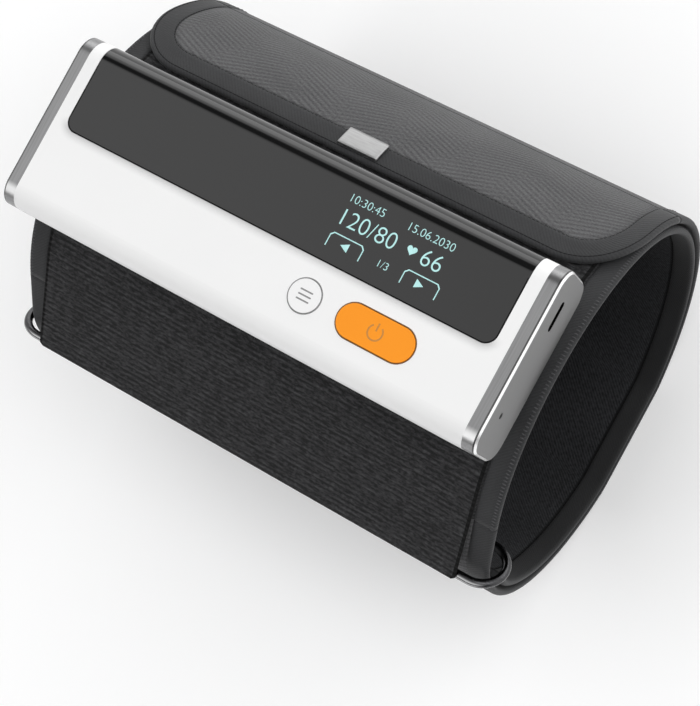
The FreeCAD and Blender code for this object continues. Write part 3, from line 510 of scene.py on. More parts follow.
def stitch_tree():
    """Beads of thread, spaced along a line and laid flat on the cloth."""
    tree, entry, leave = new_tree(
        "stitch_row", Pitch="Float", Length="Float", Width="Float", Height="Float", Thread="Material")
    add = tree.nodes.new
    seam, spaced = add("GeometryNodeMeshToCurve"), add("GeometryNodeResampleCurve")
    spaced.mode = "LENGTH"
    bead, tangent = add("GeometryNodeMeshUVSphere"), add("GeometryNodeInputTangent")
    bead.inputs["Segments"].default_value = 6
    bead.inputs["Rings"].default_value = 4
    bead.inputs["Radius"].default_value = 0.5
    upward = add("GeometryNodeInputNamedAttribute")
    upward.data_type = "FLOAT_VECTOR"
    upward.inputs["Name"].default_value = "upward"
    along, across = add("FunctionNodeAlignRotationToVector"), add("FunctionNodeAlignRotationToVector")
    along.axis = "X"
    across.axis, across.pivot_axis = "Z", "X"
    shape, place = add("ShaderNodeCombineXYZ"), add("GeometryNodeInstanceOnPoints")
    real, coat = add("GeometryNodeRealizeInstances"), add("GeometryNodeSetMaterial")
    link_all(
        tree, (entry.outputs["Thread"], coat.inputs["Material"]),
        (entry.outputs["Geometry"], seam.inputs["Mesh"]), (seam.outputs[0], spaced.inputs["Curve"]),
        (entry.outputs["Pitch"], spaced.inputs["Length"]), (spaced.outputs[0], place.inputs["Points"]),
        (bead.outputs["Mesh"], place.inputs["Instance"]), (tangent.outputs[0], along.inputs["Vector"]),
        (along.outputs[0], across.inputs["Rotation"]), (upward.outputs["Attribute"], across.inputs["Vector"]),
        (across.outputs[0], place.inputs["Rotation"]), (entry.outputs["Length"], shape.inputs[0]),
        (entry.outputs["Width"], shape.inputs[1]), (entry.outputs["Height"], shape.inputs[2]),
        (shape.outputs[0], place.inputs["Scale"]), (place.outputs[0], real.inputs[0]),
        (real.outputs[0], coat.inputs["Geometry"]), (coat.outputs[0], leave.inputs[0]))
    return tree


def object_noise(tree, scale):
    """Noise on the piece's own coordinates."""
    place = tree.nodes.new("ShaderNodeTexCoord")
    noise = tree.nodes.new("ShaderNodeTexNoise")
    noise.inputs["Scale"].default_value = scale
    tree.links.new(place.outputs["Object"], noise.inputs["Vector"])
    return noise.outputs["Fac"]


def thread_finish(name, dark, light):
    """Matte thread with a fine twist."""
    material, tree, shader = new_finish(name)
    shade_between(tree, shader, object_noise(tree, THREAD_TWIST), dark, light)
    set_surface(shader, Roughness=0.8, Specular_IOR_Level=0.1)
    return material


seam_tree = stitch_tree()
tape_thread = thread_finish("tape_thread", (0.034, 0.034, 0.036), (0.056, 0.056, 0.059))
rim_thread = thread_finish("rim_thread", (0.066, 0.066, 0.069), (0.1, 0.1, 0.104))
black_thread = thread_finish("black_thread", (0.002, 0.002, 0.002), (0.005, 0.005, 0.0052))


def bare_points(name, places, edges, upward):
    """A piece of bare points and edges that holds the direction off the cloth at each point."""
    mesh = bpy.data.meshes.new(name)
    mesh.from_pydata(places, edges, [])
    attribute = mesh.attributes.new("upward", "FLOAT_VECTOR", "POINT")
    attribute.data.foreach_set("vector", np.array(upward, np.float32).ravel())
    return new_piece(name, mesh)


def stitch_row(name, lines, thread, sizes):
    """Stitches along lines, each a list of points and of the directions that point off the cloth."""
    places, edges, upward = [], [], []
    for points, ups in lines:
        first = len(places)
        places += [tuple(p) for p in points]
        upward += [tuple(u) for u in ups]
        edges += [(first + k, first + k + 1) for k in range(len(points) - 1)]
    return grow(bare_points(name, places, edges, upward), seam_tree, Thread=thread, **sizes)


def seam_line(run, x, depth, upside):
    """A line along a run at one place across it, on its outer or its inner face."""
    points, outward, along = run
    places = points - outward * depth
    line = np.column_stack([np.full(len(places), CUFF_X + x), places])
    return line, np.column_stack([np.zeros(len(places)), outward * upside])


for word, side in (("left", -1), ("right", 1)):
    seam_x = side * (FIELD_HALF + SEAM_INSET)
    rim_x = side * (CUFF_HALF - TICK_INSET)
    outer, ups = seam_line(strap_run, seam_x, 0.0, 1)
    shown = (strap_points[:, 1] > REST_DEPTH) & (strap_along > STRAP_LENGTH / 2)
    strap_lines = [seam_line(strap_run, seam_x, LAYER, -1), (outer[shown], ups[shown])]
    for row in (
        stitch_row(f"strap_seams_{word}", strap_lines, tape_thread, STITCH),
        stitch_row(f"lining_seam_{word}", [seam_line(shell_run, side * FIELD_HALF, INNER_DEPTH + LAYER, -1)],
                   black_thread, CHAIN),
        stitch_row(f"rim_ticks_{word}", [seam_line(shell_run, rim_x, INNER_DEPTH, 1)], rim_thread, TICK),
    ):
        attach(row, "cuff")


# Ribbed front cover
# Knitted ribbed cloth over the front of the cuff, from under the flap down to the wire ring. Its
# lower end runs straight to the ring and is turned round the wire as a hem.
COVER_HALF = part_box("front_cover")[1].x - CUFF_X
COVER_THICKNESS = 0.0006
COVER_EDGE = 0.0009
COVER_START_ANGLE = 50
RING_ANGLE = 159.2
RING_RISE = 0.0028
WIRE_RADIUS = 0.0012
HEM_CLEARANCE = 0.0002
HEM_RADIUS = WIRE_RADIUS + HEM_CLEARANCE + COVER_THICKNESS
HEM_TURN = 285
HEM_CUT = 0.004
HEM_CUT_SHARE = 0.45
COVER_SINK = 0.00005
COVER_COLUMNS = 46
RIB_PITCH = 0.00165
RIB_HEIGHT = 0.00014
RIB_STEP = RIB_PITCH / 8
RIB_DASH = 0.0025
RIB_SEED = 3.0
RIB_SHIFT = 7.31
KNIT_YARN = (0.0009, 0.0005)
KNIT_WORN = (0.012, 0.008)
KNIT_RELIEF = 0.00012
COVER_EDGE_PAINTED_SHADE = 0.9


def cover_path():
    """The cover's round over the front, its straight run to the ring and its turn round the wire."""
    radius = TUBE_RADIUS - INNER_DEPTH + COVER_THICKNESS
    bar_reach = TUBE_RADIUS + RING_RISE
    lead_turn = math.acos((radius - HEM_RADIUS) / bar_reach)
    leave = RING_ANGLE - math.degrees(lead_turn)
    corner = TUBE_CENTRE + radius * direction(leave)
    foot = corner + bar_reach * math.sin(lead_turn) * direction(leave + 90)
    bar = TUBE_CENTRE + bar_reach * direction(RING_ANGLE)
    return join_runs(
        arc_run(TUBE_CENTRE, radius, COVER_START_ANGLE, leave, RIB_STEP),
        straight_run(corner, foot, direction(leave), RIB_STEP),
        arc_run(bar, HEM_RADIUS, leave, leave + HEM_TURN, RIB_STEP),
    )


cover_run = cover_path()
cover_section = flat_section(
    -COVER_HALF, COVER_HALF, RIB_HEIGHT, COVER_THICKNESS - COVER_SINK, columns=COVER_COLUMNS)
cover = swept_strip("front_cover_cloth", cover_run, cover_section)
hem_length = math.radians(HEM_TURN) * HEM_RADIUS
for vertex, along in zip(cover.data.vertices, cover.data.attributes["along"].data):
    turned = min(1, max(0, 1 + (along.value - cover_run[2][-1]) / hem_length) / HEM_CUT_SHARE)
    vertex.co.x -= turned * HEM_CUT * (vertex.co.x - CUFF_X) / COVER_HALF


def rib_tree():
    """Ribs along the cloth's width, broken into uneven dashes, raised from its outer face."""
    tree, entry, leave = new_tree(
        "ribbed_face", Pitch="Float", Height="Float", Dash="Float", Seed="Float", Knit="Material")
    add = tree.nodes.new
    along, top = add("GeometryNodeInputNamedAttribute"), add("GeometryNodeInputNamedAttribute")
    along.inputs["Name"].default_value = "along"
    top.inputs["Name"].default_value = "top"
    place, split = add("GeometryNodeInputPosition"), add("ShaderNodeSeparateXYZ")
    tree.links.new(place.outputs[0], split.inputs[0])
    count = sums(tree, "DIVIDE", along.outputs["Attribute"], entry.outputs["Pitch"])
    wave = sums(tree, "SINE", sums(tree, "MULTIPLY", count, 2 * math.pi))
    dash = sums(tree, "DIVIDE", split.outputs[0], entry.outputs["Dash"])
    shift = sums(tree, "MULTIPLY", sums(tree, "FLOOR", count), RIB_SHIFT)
    where, noise = add("ShaderNodeCombineXYZ"), add("ShaderNodeTexNoise")
    noise.inputs["Scale"].default_value = 1.0
    link_all(
        tree, (dash, where.inputs[0]), (shift, where.inputs[1]), (entry.outputs["Seed"], where.inputs[2]),
        (where.outputs[0], noise.inputs["Vector"]))
    rise = sums(tree, "MULTIPLY", sums(tree, "MULTIPLY", wave, noise.outputs["Fac"]), entry.outputs["Height"])
    rise = sums(tree, "MULTIPLY", rise, top.outputs["Attribute"])
    normal, offset = add("GeometryNodeInputNormal"), add("ShaderNodeVectorMath")
    offset.operation = "SCALE"
    move, real = add("GeometryNodeSetPosition"), add("GeometryNodeRealizeInstances")
    coat = add("GeometryNodeSetMaterial")
    link_all(
        tree, (entry.outputs["Knit"], coat.inputs["Material"]),
        (normal.outputs[0], offset.inputs[0]), (rise, offset.inputs["Scale"]),
        (entry.outputs["Geometry"], move.inputs["Geometry"]), (offset.outputs[0], move.inputs["Offset"]),
        (move.outputs[0], real.inputs[0]), (real.outputs[0], coat.inputs["Geometry"]),
        (coat.outputs[0], leave.inputs[0]))
    return tree


def rib_finish():
    """Dark ribbed knit with paler flecks that run with the ribs, and black painted shade in a narrow band
    along its side edges.
    """
    material, tree, shader = new_finish("ribbed_knit")
    across, along = cloth_places(tree)
    ribs = waves(tree, along, RIB_PITCH)
    dashes = flecks(tree, across, along, RIB_DASH, RIB_PITCH * 0.5, detail=4.0)
    yarn = flecks(tree, across, along, *KNIT_YARN, detail=4.0)
    worn = flecks(tree, across, along, *KNIT_WORN)
    height = weighted(tree, (ribs, 0.09), (dashes, 1.0))
    tone = weighted(tree, (height, 0.5), (yarn, 0.4), (worn, 0.12))
    shade_between(
        tree, shader, tone, (0.0125, 0.0125, 0.0132), (0.062, 0.062, 0.0648), low=0.45, high=0.71)
    # Painted shade: a narrow black band along both side edges, where the cover meets the tapes.
    turned = sums(tree, "GREATER_THAN", sums(tree, "ABSOLUTE", across), COVER_HALF - COVER_EDGE)
    dim_where(tree, shader, turned, COVER_EDGE_PAINTED_SHADE)
    raise_by(tree, shader, sums(tree, "ADD", height, yarn), KNIT_RELIEF)
    set_surface(shader, Roughness=0.9, Specular_IOR_Level=0.2, Sheen_Weight=0.03)
    return material


ribbed_knit = rib_finish()
cover.data.materials.append(ribbed_knit)
grow(cover, rib_tree(), Pitch=RIB_PITCH, Height=RIB_HEIGHT, Dash=RIB_DASH, Seed=RIB_SEED, Knit=ribbed_knit)
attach(cover, "cuff")
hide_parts("front_cover")


# Closing flap
# The loose end of the outer strap, folded over the front under the monitor's upper edge. Its free
# end has round corners and a bound border.
FLAP_EDGE_Y = 0.0255
FLAP_CORNER = 0.017
FIELD_SINK = 0.00025
FIELD_GAP = 0.0003
FIELD_ROWS = 44
FIELD_COLUMNS = 50
SIDE_POINTS = 14
CORNER_POINTS = 15
FRONT_POINTS = 40


def on_round(x, plan_y, depth):
    """A place on the cuff's round, from its plan and its depth below the outer face."""
    turn = np.arccos(np.clip(plan_y / TUBE_RADIUS, -1, 1))
    radius = TUBE_RADIUS - depth
    return np.stack(np.broadcast_arrays(
        CUFF_X + x, radius * np.cos(turn), TUBE_CENTRE[1] + radius * np.sin(turn)), -1)


def length_at(plan_y):
    """Length along the strap's cloth and on from the flap's hinge."""
    turn = np.arccos(np.clip(plan_y / TUBE_RADIUS, -1, 1)) - math.radians(FLAP_HINGE_ANGLE)
    return strap_run[2][-1] + TUBE_RADIUS * turn


FLAP_START_Y = TUBE_RADIUS * math.cos(math.radians(FLAP_HINGE_ANGLE))


def flap_field():
    """The woven field inside the border."""
    edge_y = FLAP_EDGE_Y + BINDING_WIDTH
    corner = FLAP_CORNER - BINDING_WIDTH
    start = math.radians(FLAP_HINGE_ANGLE)
    end = math.acos((edge_y + FIELD_GAP) / TUBE_RADIUS)
    plan_y = TUBE_RADIUS * np.cos(np.linspace(start, end, FIELD_ROWS))
    into = np.clip(corner - (plan_y - edge_y), 0, corner)
    half = FIELD_HALF - FIELD_GAP - corner + np.sqrt(np.maximum(corner ** 2 - into ** 2, 0))
    section = flat_section(-1, 1, FIELD_SINK, LAYER - FIELD_SINK, columns=FIELD_COLUMNS)
    x = section[None, :, 0] * half[:, None]
    depth = np.broadcast_to(section[:, 1], x.shape)
    y = np.broadcast_to(plan_y[:, None], x.shape)
    cloth_map = np.stack([x, length_at(y)], -1)
    return new_piece("flap_field", cloth_mesh("flap_field", on_round(x, y, depth), cloth_map))


def border_path():
    """The flap's plan outline from hinge to hinge, with the directions that point off the flap."""
    corner_x = CUFF_HALF - FLAP_CORNER
    corner_y = FLAP_EDGE_Y + FLAP_CORNER
    side_y = np.linspace(FLAP_START_Y, corner_y, SIDE_POINTS)
    turns = np.radians(np.linspace(0, 90, CORNER_POINTS))[1:]
    front_x = np.linspace(corner_x, -corner_x, FRONT_POINTS)[1:]
    points = [(CUFF_HALF, y) for y in side_y]
    off = [(1, 0)] * len(side_y)
    points += [(corner_x + FLAP_CORNER * math.cos(t), corner_y - FLAP_CORNER * math.sin(t)) for t in turns]
    off += [(math.cos(t), -math.sin(t)) for t in turns]
    points += [(x, FLAP_EDGE_Y) for x in front_x]
    off += [(0, -1)] * len(front_x)
    points += [(-corner_x - FLAP_CORNER * math.sin(t), corner_y - FLAP_CORNER * math.cos(t)) for t in turns]
    off += [(-math.sin(t), -math.cos(t)) for t in turns]
    points += [(-CUFF_HALF, y) for y in side_y[::-1][1:]]
    off += [(-1, 0)] * (len(side_y) - 1)
    return np.array(points), np.array(off)


border_points, border_off = border_path()


def flap_border():
    """Tape folded over the flap's edge."""
    section = tape_section(1, 0.0, LAYER)
    inset = CUFF_HALF - section[:, 0]
    plan = border_points[:, None] - border_off[:, None] * inset[None, :, None]
    depth = np.broadcast_to(section[:, 1], plan.shape[:2])
    run = np.concatenate([[0], np.cumsum(np.linalg.norm(np.diff(border_points, axis=0), axis=1))])
    cloth_map = np.stack(np.broadcast_arrays(section[None, :, 0], strap_run[2][-1] + run[:, None]), -1)
    mesh = cloth_mesh("flap_border", on_round(plan[..., 0], plan[..., 1], depth), cloth_map)
    return new_piece("flap_border", mesh)


field = flap_field()
field.data.materials.append(field_weave)
border = flap_border()
border.data.materials.append(binding_tape)


def border_line(inset, depth):
    """A line along the border at one distance from the flap's edge, and the directions off the cloth."""
    x, y = (border_points - border_off * inset).T
    places = on_round(x, y, depth)
    return places, on_round(x, y, depth - 1.0) - places


flap_seam = stitch_row("flap_seam", [border_line(BINDING_WIDTH, FIELD_SINK)], black_thread, CHAIN)
hem_thread = thread_finish("hem_thread", (0.014, 0.014, 0.0145), (0.022, 0.022, 0.023))
flap_hem = stitch_row("flap_hem", [border_line(SEAM_INSET, 0.0)], hem_thread, CHAIN)
for piece, node, slot in ((field, "closure_flap", "flap_cloth"), (border, "flap_binding", "binding_tape"),
                          (flap_seam, None, "binding_tape"), (flap_hem, None, "binding_tape")):
    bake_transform(piece)
    if node:
        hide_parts(node)


# Hook patch
# Hook tape sewn under the flap: a thin woven base with rows of small bent nylon hooks. They grip
# the ribbed cover when the flap is pressed on it.
HOOK_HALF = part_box("hook_patch")[1].x - CUFF_X
HOOK_START_ANGLE = 25.3
HOOK_END_ANGLE = 46.7
HOOK_BASE = 0.00025
HOOK_SPACING = 0.0021
HOOK_HEIGHT = 0.0003
HOOK_MARGIN = 1
hook_run = join_runs(arc_run(TUBE_CENTRE, TUBE_RADIUS - LAYER, HOOK_START_ANGLE, HOOK_END_ANGLE))
hook_base = swept_strip(
    "hook_base", hook_run, flat_section(-HOOK_HALF, HOOK_HALF, 0.0, HOOK_BASE, rounding=2))
hook_cloth = tape_finish("hook_weave", (0.006, 0.006, 0.006), (0.016, 0.016, 0.017))
hook_base.data.materials.append(hook_cloth)


def hook_tree():
    """A bent hook at every point of the patch."""
    tree, entry, leave = new_tree("hook_rows", Height="Float", Nylon="Material")
    add = tree.nodes.new
    stem, profile = add("GeometryNodeCurveArc"), add("GeometryNodeCurvePrimitiveCircle")
    sweep = add("GeometryNodeCurveToMesh")
    stem.inputs["Resolution"].default_value = 5
    stem.inputs["Radius"].default_value = 0.5
    stem.inputs["Sweep Angle"].default_value = math.radians(200)
    profile.inputs["Resolution"].default_value = 4
    profile.inputs["Radius"].default_value = 0.16
    stand, upward = add("GeometryNodeTransform"), add("GeometryNodeInputNamedAttribute")
    stand.inputs["Rotation"].default_value = (math.radians(90), 0, 0)
    upward.data_type = "FLOAT_VECTOR"
    upward.inputs["Name"].default_value = "upward"
    aim, place = add("FunctionNodeAlignRotationToVector"), add("GeometryNodeInstanceOnPoints")
    aim.axis = "Z"
    real, coat = add("GeometryNodeRealizeInstances"), add("GeometryNodeSetMaterial")
    link_all(
        tree, (entry.outputs["Nylon"], coat.inputs["Material"]),
        (stem.outputs[0], sweep.inputs["Curve"]), (profile.outputs[0], sweep.inputs["Profile Curve"]),
        (sweep.outputs[0], stand.inputs["Geometry"]), (stand.outputs[0], place.inputs["Instance"]),
        (entry.outputs["Geometry"], place.inputs["Points"]),
        (upward.outputs["Attribute"], aim.inputs["Vector"]),
        (aim.outputs[0], place.inputs["Rotation"]), (entry.outputs["Height"], place.inputs["Scale"]),
        (place.outputs[0], real.inputs[0]), (real.outputs[0], coat.inputs["Geometry"]),
        (coat.outputs[0], leave.inputs[0]))
    return tree


def hook_rows():
    """Rows of hooks over the base, a little inside its edges."""
    points, outward = arc_run(
        TUBE_CENTRE, TUBE_RADIUS - LAYER - HOOK_BASE, HOOK_START_ANGLE + HOOK_MARGIN,
        HOOK_END_ANGLE - HOOK_MARGIN, HOOK_SPACING)
    across = np.arange(-HOOK_HALF + HOOK_SPACING, HOOK_HALF - HOOK_SPACING / 2, HOOK_SPACING)
    places = [(CUFF_X + x, *point) for point in points for x in across]
    upward = [(0, *-way) for way in outward for x in across]
    nylon = thread_finish("hook_nylon", (0.008, 0.008, 0.008), (0.025, 0.025, 0.026))
    return grow(bare_points("hook_rows", places, [], upward), hook_tree(), Height=HOOK_HEIGHT, Nylon=nylon)


hooks = hook_rows()
for piece in (hook_base, hooks):
    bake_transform(piece)
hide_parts("hook_patch")


# Pull tab
# A small satin metal plate at the middle of the flap's edge, to peel the flap by. It is bent to the
# cuff's round and clamped over the border.
TAB_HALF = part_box("pull_tab")[1].x - CUFF_X
TAB_THICKNESS = 0.0009
TAB_LENGTH = 0.006
TAB_INSET = 0.0016
TAB_STEP = 0.0006
METAL_RELIEF = 0.00002
tab_end = math.degrees(math.acos(FLAP_EDGE_Y / TUBE_RADIUS)) - math.degrees(TAB_INSET / TUBE_RADIUS)
tab_start = tab_end - math.degrees(TAB_LENGTH / TUBE_RADIUS)
tab = swept_strip(
    "pull_tab_plate",
    join_runs(arc_run(TUBE_CENTRE, TUBE_RADIUS + TAB_THICKNESS, tab_start, tab_end, TAB_STEP)),
    flat_section(-TAB_HALF, TAB_HALF, 0.0, TAB_THICKNESS, columns=12, rounding=3))


def satin_metal(name, dark, light, roughness, grain):
    """Satin metal with fine grain lines, so many to a metre along each axis."""
    material, tree, shader = new_finish(name)
    place = tree.nodes.new("ShaderNodeTexCoord")
    turn = tree.nodes.new("ShaderNodeMapping")
    turn.inputs["Scale"].default_value = grain
    lines = tree.nodes.new("ShaderNodeTexNoise")
    lines.inputs["Scale"].default_value = 1.0
    lines.inputs["Detail"].default_value = 4.0
    tree.links.new(place.outputs["Object"], turn.inputs["Vector"])
    tree.links.new(turn.outputs[0], lines.inputs["Vector"])
    shade_between(tree, shader, lines.outputs["Fac"], dark, light)
    raise_by(tree, shader, lines.outputs["Fac"], METAL_RELIEF, strength=0.4)
    set_surface(shader, Metallic=1.0, Roughness=roughness)
    return material


tab.data.materials.append(
    satin_metal("tab_metal", (0.345, 0.345, 0.345), (0.41, 0.41, 0.41), 0.45, grain=(300, 3000, 3000)))
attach(tab, "flap")
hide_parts("pull_tab")


# Wire ring and its sleeve
# A long ring of dark plated wire. Its outer bar lies in the cover's hem, and a sewn sleeve at the
# free end of the inner layer holds its inner bar.
SLEEVE_ANGLE = 139
SLEEVE_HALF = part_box("ring_sleeve")[1].x - CUFF_X
SLEEVE_GAP = 0.0012
SLEEVE_TURN = 285
SLEEVE_STEP = 0.0006
SLEEVE_HEM_STEP = 0.0005
WIRE_SIDES = 20
WIRE_TURN_STEPS = 28
# The wire's painted highlight: the way it faces, how far it spreads, and its colour.
WIRE_HIGHLIGHT_FACING = (0.0, -0.6, 0.8)
WIRE_HIGHLIGHT_SPREAD = (0.76, 0.97)
WIRE_HIGHLIGHT_TINT = (0.42, 0.42, 0.425)
inner_bar = CURL_CENTRE + (CURL_RADIUS - HEM_RADIUS + COVER_THICKNESS / 2) * direction(SLEEVE_ANGLE)
sleeve_root = CURL_END_ANGLE - math.degrees(SLEEVE_GAP / CURL_RADIUS)
sleeve_run = join_runs(
    arc_run(CURL_CENTRE, CURL_RADIUS + COVER_THICKNESS / 2, sleeve_root, SLEEVE_ANGLE, SLEEVE_STEP),
    arc_run(inner_bar, HEM_RADIUS, SLEEVE_ANGLE, SLEEVE_ANGLE - SLEEVE_TURN, SLEEVE_HEM_STEP))
sleeve_section = flat_section(-SLEEVE_HALF, SLEEVE_HALF, 0.0, COVER_THICKNESS - COVER_SINK)
sleeve = swept_strip("ring_sleeve_cloth", sleeve_run, sleeve_section)
sleeve.data.materials.append(binding_tape)
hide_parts("ring_sleeve")
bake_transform(sleeve)


def ring_wire():
    """A closed wire: two straight bars joined by half circles."""
    outer_bar = TUBE_CENTRE + (TUBE_RADIUS + RING_RISE) * direction(RING_ANGLE)
    across = Vector((0, *(inner_bar - outer_bar)))
    middle = Vector((CUFF_X, *((inner_bar + outer_bar) / 2)))
    turn_radius = across.length / 2
    across.normalize()
    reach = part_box("tension_ring")[1].x - CUFF_X - WIRE_RADIUS - turn_radius
    facing = across.cross((1, 0, 0))
    rows = []
    for side in (1, -1):
        for turn in np.linspace(-math.pi / 2, math.pi / 2, WIRE_TURN_STEPS):
            away = side * (Vector((math.cos(turn), 0, 0)) + math.sin(turn) * across)
            centre = middle + Vector((side * reach, 0, 0)) + turn_radius * away
            rows.append([
                centre + WIRE_RADIUS * (math.cos(round_turn) * away + math.sin(round_turn) * facing)
                for round_turn in np.linspace(0, 2 * math.pi, WIRE_SIDES, endpoint=False)])
    index = np.arange(len(rows) * WIRE_SIDES).reshape(len(rows), WIRE_SIDES)
    ahead, beside = np.roll(index, -1, axis=0), np.roll(index, -1, axis=1)
    quads = np.stack([index, beside, np.roll(ahead, -1, axis=1), ahead], -1).reshape(-1, 4)
    mesh = bpy.data.meshes.new("ring_wire")
    mesh.from_pydata([point for row in rows for point in row], [], quads.tolist())
    face_outwards(mesh)
    return new_piece("ring_wire", mesh)


def fade(tree, place, limits):
    """A soft step from 0 to 1 between two places."""
    node = tree.nodes.new("ShaderNodeMapRange")
    node.interpolation_type = "SMOOTHSTEP"
    node.inputs["From Min"].default_value, node.inputs["From Max"].default_value = limits
    tree.links.new(place, node.inputs["Value"])
    return node.outputs[0]


def tint_where(tree, shader, mask, tint):
    """Mix another colour into the one that a shader already has, as far as the mask says."""
    mix = tree.nodes.new("ShaderNodeMix")
    mix.data_type = "RGBA"
    mix.inputs["B"].default_value = (*tint, 1)
    tree.links.new(mask, mix.inputs["Factor"])
    tree.links.new(shader.inputs["Base Color"].links[0].from_socket, mix.inputs["A"])
    tree.links.new(mix.outputs["Result"], shader.inputs["Base Color"])


def wire_finish():
    """Dark plating with a painted highlight where the wire faces up and to the front."""
    material = satin_metal(
        "dark_nickel", (0.05, 0.05, 0.052), (0.085, 0.085, 0.088), 0.2, grain=(200, 2500, 2500))
    tree, shader = finish_nodes(material)
    place = tree.nodes.new("ShaderNodeTexCoord")
    highlight_facing = tree.nodes.new("ShaderNodeVectorMath")
    highlight_facing.operation = "DOT_PRODUCT"
    highlight_facing.inputs[1].default_value = WIRE_HIGHLIGHT_FACING
    tree.links.new(place.outputs["Normal"], highlight_facing.inputs[0])
    # Painted highlight: pale nickel colour where the surface faces up and to the front.
    tint_where(tree, shader, fade(tree, highlight_facing.outputs["Value"], WIRE_HIGHLIGHT_SPREAD), WIRE_HIGHLIGHT_TINT)
    return material


ring = ring_wire()
ring.data.materials.append(wire_finish())
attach(ring, "ring")
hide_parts("tension_ring")


# Dock and air port
# A moulded plastic saddle on the cuff with two pins for the monitor. The bladder's port, with its
# soft rubber seal, stands beside them and takes the monitor's nozzle.
BROAD_GRAIN = 25


def moulded_finish(name, dark, light, roughness, grain=900, relief=0.00002, specular=0.5):
    """Moulded plastic or rubber with a fine spark-eroded grain."""
    material, tree, shader = new_finish(name)
    shade_between(tree, shader, object_noise(tree, BROAD_GRAIN), dark, light)
    raise_by(tree, shader, object_noise(tree, grain), relief, strength=0.5)
    set_surface(shader, Roughness=roughness, Specular_IOR_Level=specular)
    return material


def coat_nodes(finish, *nodes):
    """Give solids of the frame a finish."""
    for node in nodes:
        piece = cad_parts[node]
        piece.data.materials.clear()
        piece.data.materials.append(finish)


black_moulding = moulded_finish("black_moulding", (0.018, 0.018, 0.019), (0.026, 0.026, 0.027), 0.5)
soft_rubber = moulded_finish("soft_rubber", (0.012, 0.012, 0.012), (0.02, 0.02, 0.02), 0.8)
coat_nodes(black_moulding, "dock_plate", "bladder_port")
coat_nodes(soft_rubber, "port_seal")


# Works inside the monitor
# Board, display, battery, pump, valve, sensor and charging socket, most of them bought in. The case
# hides them, apart from the socket's mouth and the light's end.
coat_nodes(black_moulding, "pump_head", "air_block", "release_valve", "pressure_sensor", "button_switches")
coat_nodes(soft_rubber, "pump_mount")
for name, dark, light, roughness, node in (
    ("solder_mask", (0.008, 0.06, 0.025), (0.012, 0.085, 0.035), 0.35, "main_board"),
    ("panel_glass", (0.004, 0.004, 0.005), (0.006, 0.006, 0.007), 0.1, "display_panel"),
    ("battery_film", (0.05, 0.08, 0.2), (0.07, 0.11, 0.25), 0.3, "battery_pack"),
    ("socket_black", (0.004, 0.004, 0.004), (0.007, 0.007, 0.007), 0.4, "charging_socket"),
):
    coat_nodes(moulded_finish(name, dark, light, roughness), node)
smoked_plastic = moulded_finish(
    "smoked_plastic", (0.003, 0.003, 0.003), (0.005, 0.005, 0.005), 0.5, specular=0.1)
coat_nodes(smoked_plastic, "light_pipe")
plain_steel = satin_metal(
    "plain_steel", (0.45, 0.45, 0.45), (0.58, 0.58, 0.58), 0.35, grain=(1500, 1500, 200))
coat_nodes(plain_steel, "pump_motor", "case_screws")


# Case
# Front and back shells moulded in white plastic with a fine satin grain, screwed together from the
# back. Painted shade darkens the face softly along the lower edge of the glass.
GLASS_CORNER = 0.0032
GLASS_EDGE_SHADE_WIDTH = 0.0026
GLASS_EDGE_PAINTED_SHADE = 0.82
CASE_GRAIN = 1400
CASE_RELIEF = 0.000006
glass_low, glass_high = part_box("display_window")


def object_places(tree):
    """Places along the piece's own three axes."""
    place = tree.nodes.new("ShaderNodeTexCoord")
    split = tree.nodes.new("ShaderNodeSeparateXYZ")
    tree.links.new(place.outputs["Object"], split.inputs[0])
    return tuple(split.outputs)


def case_finish(name, dark, light, roughness):
    """White plastic with painted shade in a soft band along the lower edge of the glass."""
    material = moulded_finish(name, dark, light, roughness, CASE_GRAIN, CASE_RELIEF)
    tree, shader = finish_nodes(material)
    x, y = object_places(tree)[:2]
    beside = sums(tree, "SUBTRACT", sums(tree, "ABSOLUTE", x), glass_high.x - GLASS_CORNER)
    beside = sums(tree, "MAXIMUM", beside, 0.0)
    below = sums(tree, "SUBTRACT", glass_low.y + GLASS_CORNER, y)
    below = sums(tree, "MAXIMUM", below, 0.0)
    squares = sums(tree, "ADD", sums(tree, "MULTIPLY", beside, beside), sums(tree, "MULTIPLY", below, below))
    away = sums(tree, "SUBTRACT", sums(tree, "SQRT", squares), GLASS_CORNER)
    # Painted shade: a soft dark band along the glass's lower edge and round its lower corners.
    glass_edge_shade = one_minus(tree, fade(tree, away, (-GLASS_EDGE_SHADE_WIDTH, GLASS_EDGE_SHADE_WIDTH)))
    glass_edge_shade = sums(tree, "MULTIPLY", glass_edge_shade, fade(tree, below, (0.0, GLASS_CORNER)))
    dim_where(tree, shader, glass_edge_shade, GLASS_EDGE_PAINTED_SHADE)
    return material


case_white = case_finish("case_white", (0.82, 0.82, 0.82), (0.845, 0.845, 0.845), 0.42)
coat_nodes(case_white, "front_housing", "back_housing", "menu_button")


# End caps
# Satin metal caps that close the case at each end, with a chamfer cut bare and painted bright as its
# highlight. Painted highlight lies on the lower bend, and painted shade on the end face, in a line inside
# the chamfer and in the holes. The right one has the charging slot and a small hole for the light.
CAP_CHAMFER = 0.0005
CAP_LINE = 0.0004
CAP_SKIN = 0.00002
CAP_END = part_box("end_cap_right")[1].x
CAP_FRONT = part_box("end_cap_right")[0].y
BEND_HIGHLIGHT_START = (CAP_FRONT + 0.0008, CAP_FRONT + 0.0026)
BEND_HIGHLIGHT_END = (CAP_FRONT + 0.0036, CAP_FRONT + 0.0056)
HOLE_MARGIN = 0.0003
HOLE_DEPTH = 0.00003
# Colours for the painted highlight on the lower bend, the painted shade in a line inside the chamfer, the
# bare chamfer painted bright as its highlight, and the painted shade on the end face and inside the slot and
# hole.
CAP_TINTS = {"painted_bend_highlight": 0.75, "line": 0.1, "chamfer": 0.93, "end": 0.17, "hole": 0.01}


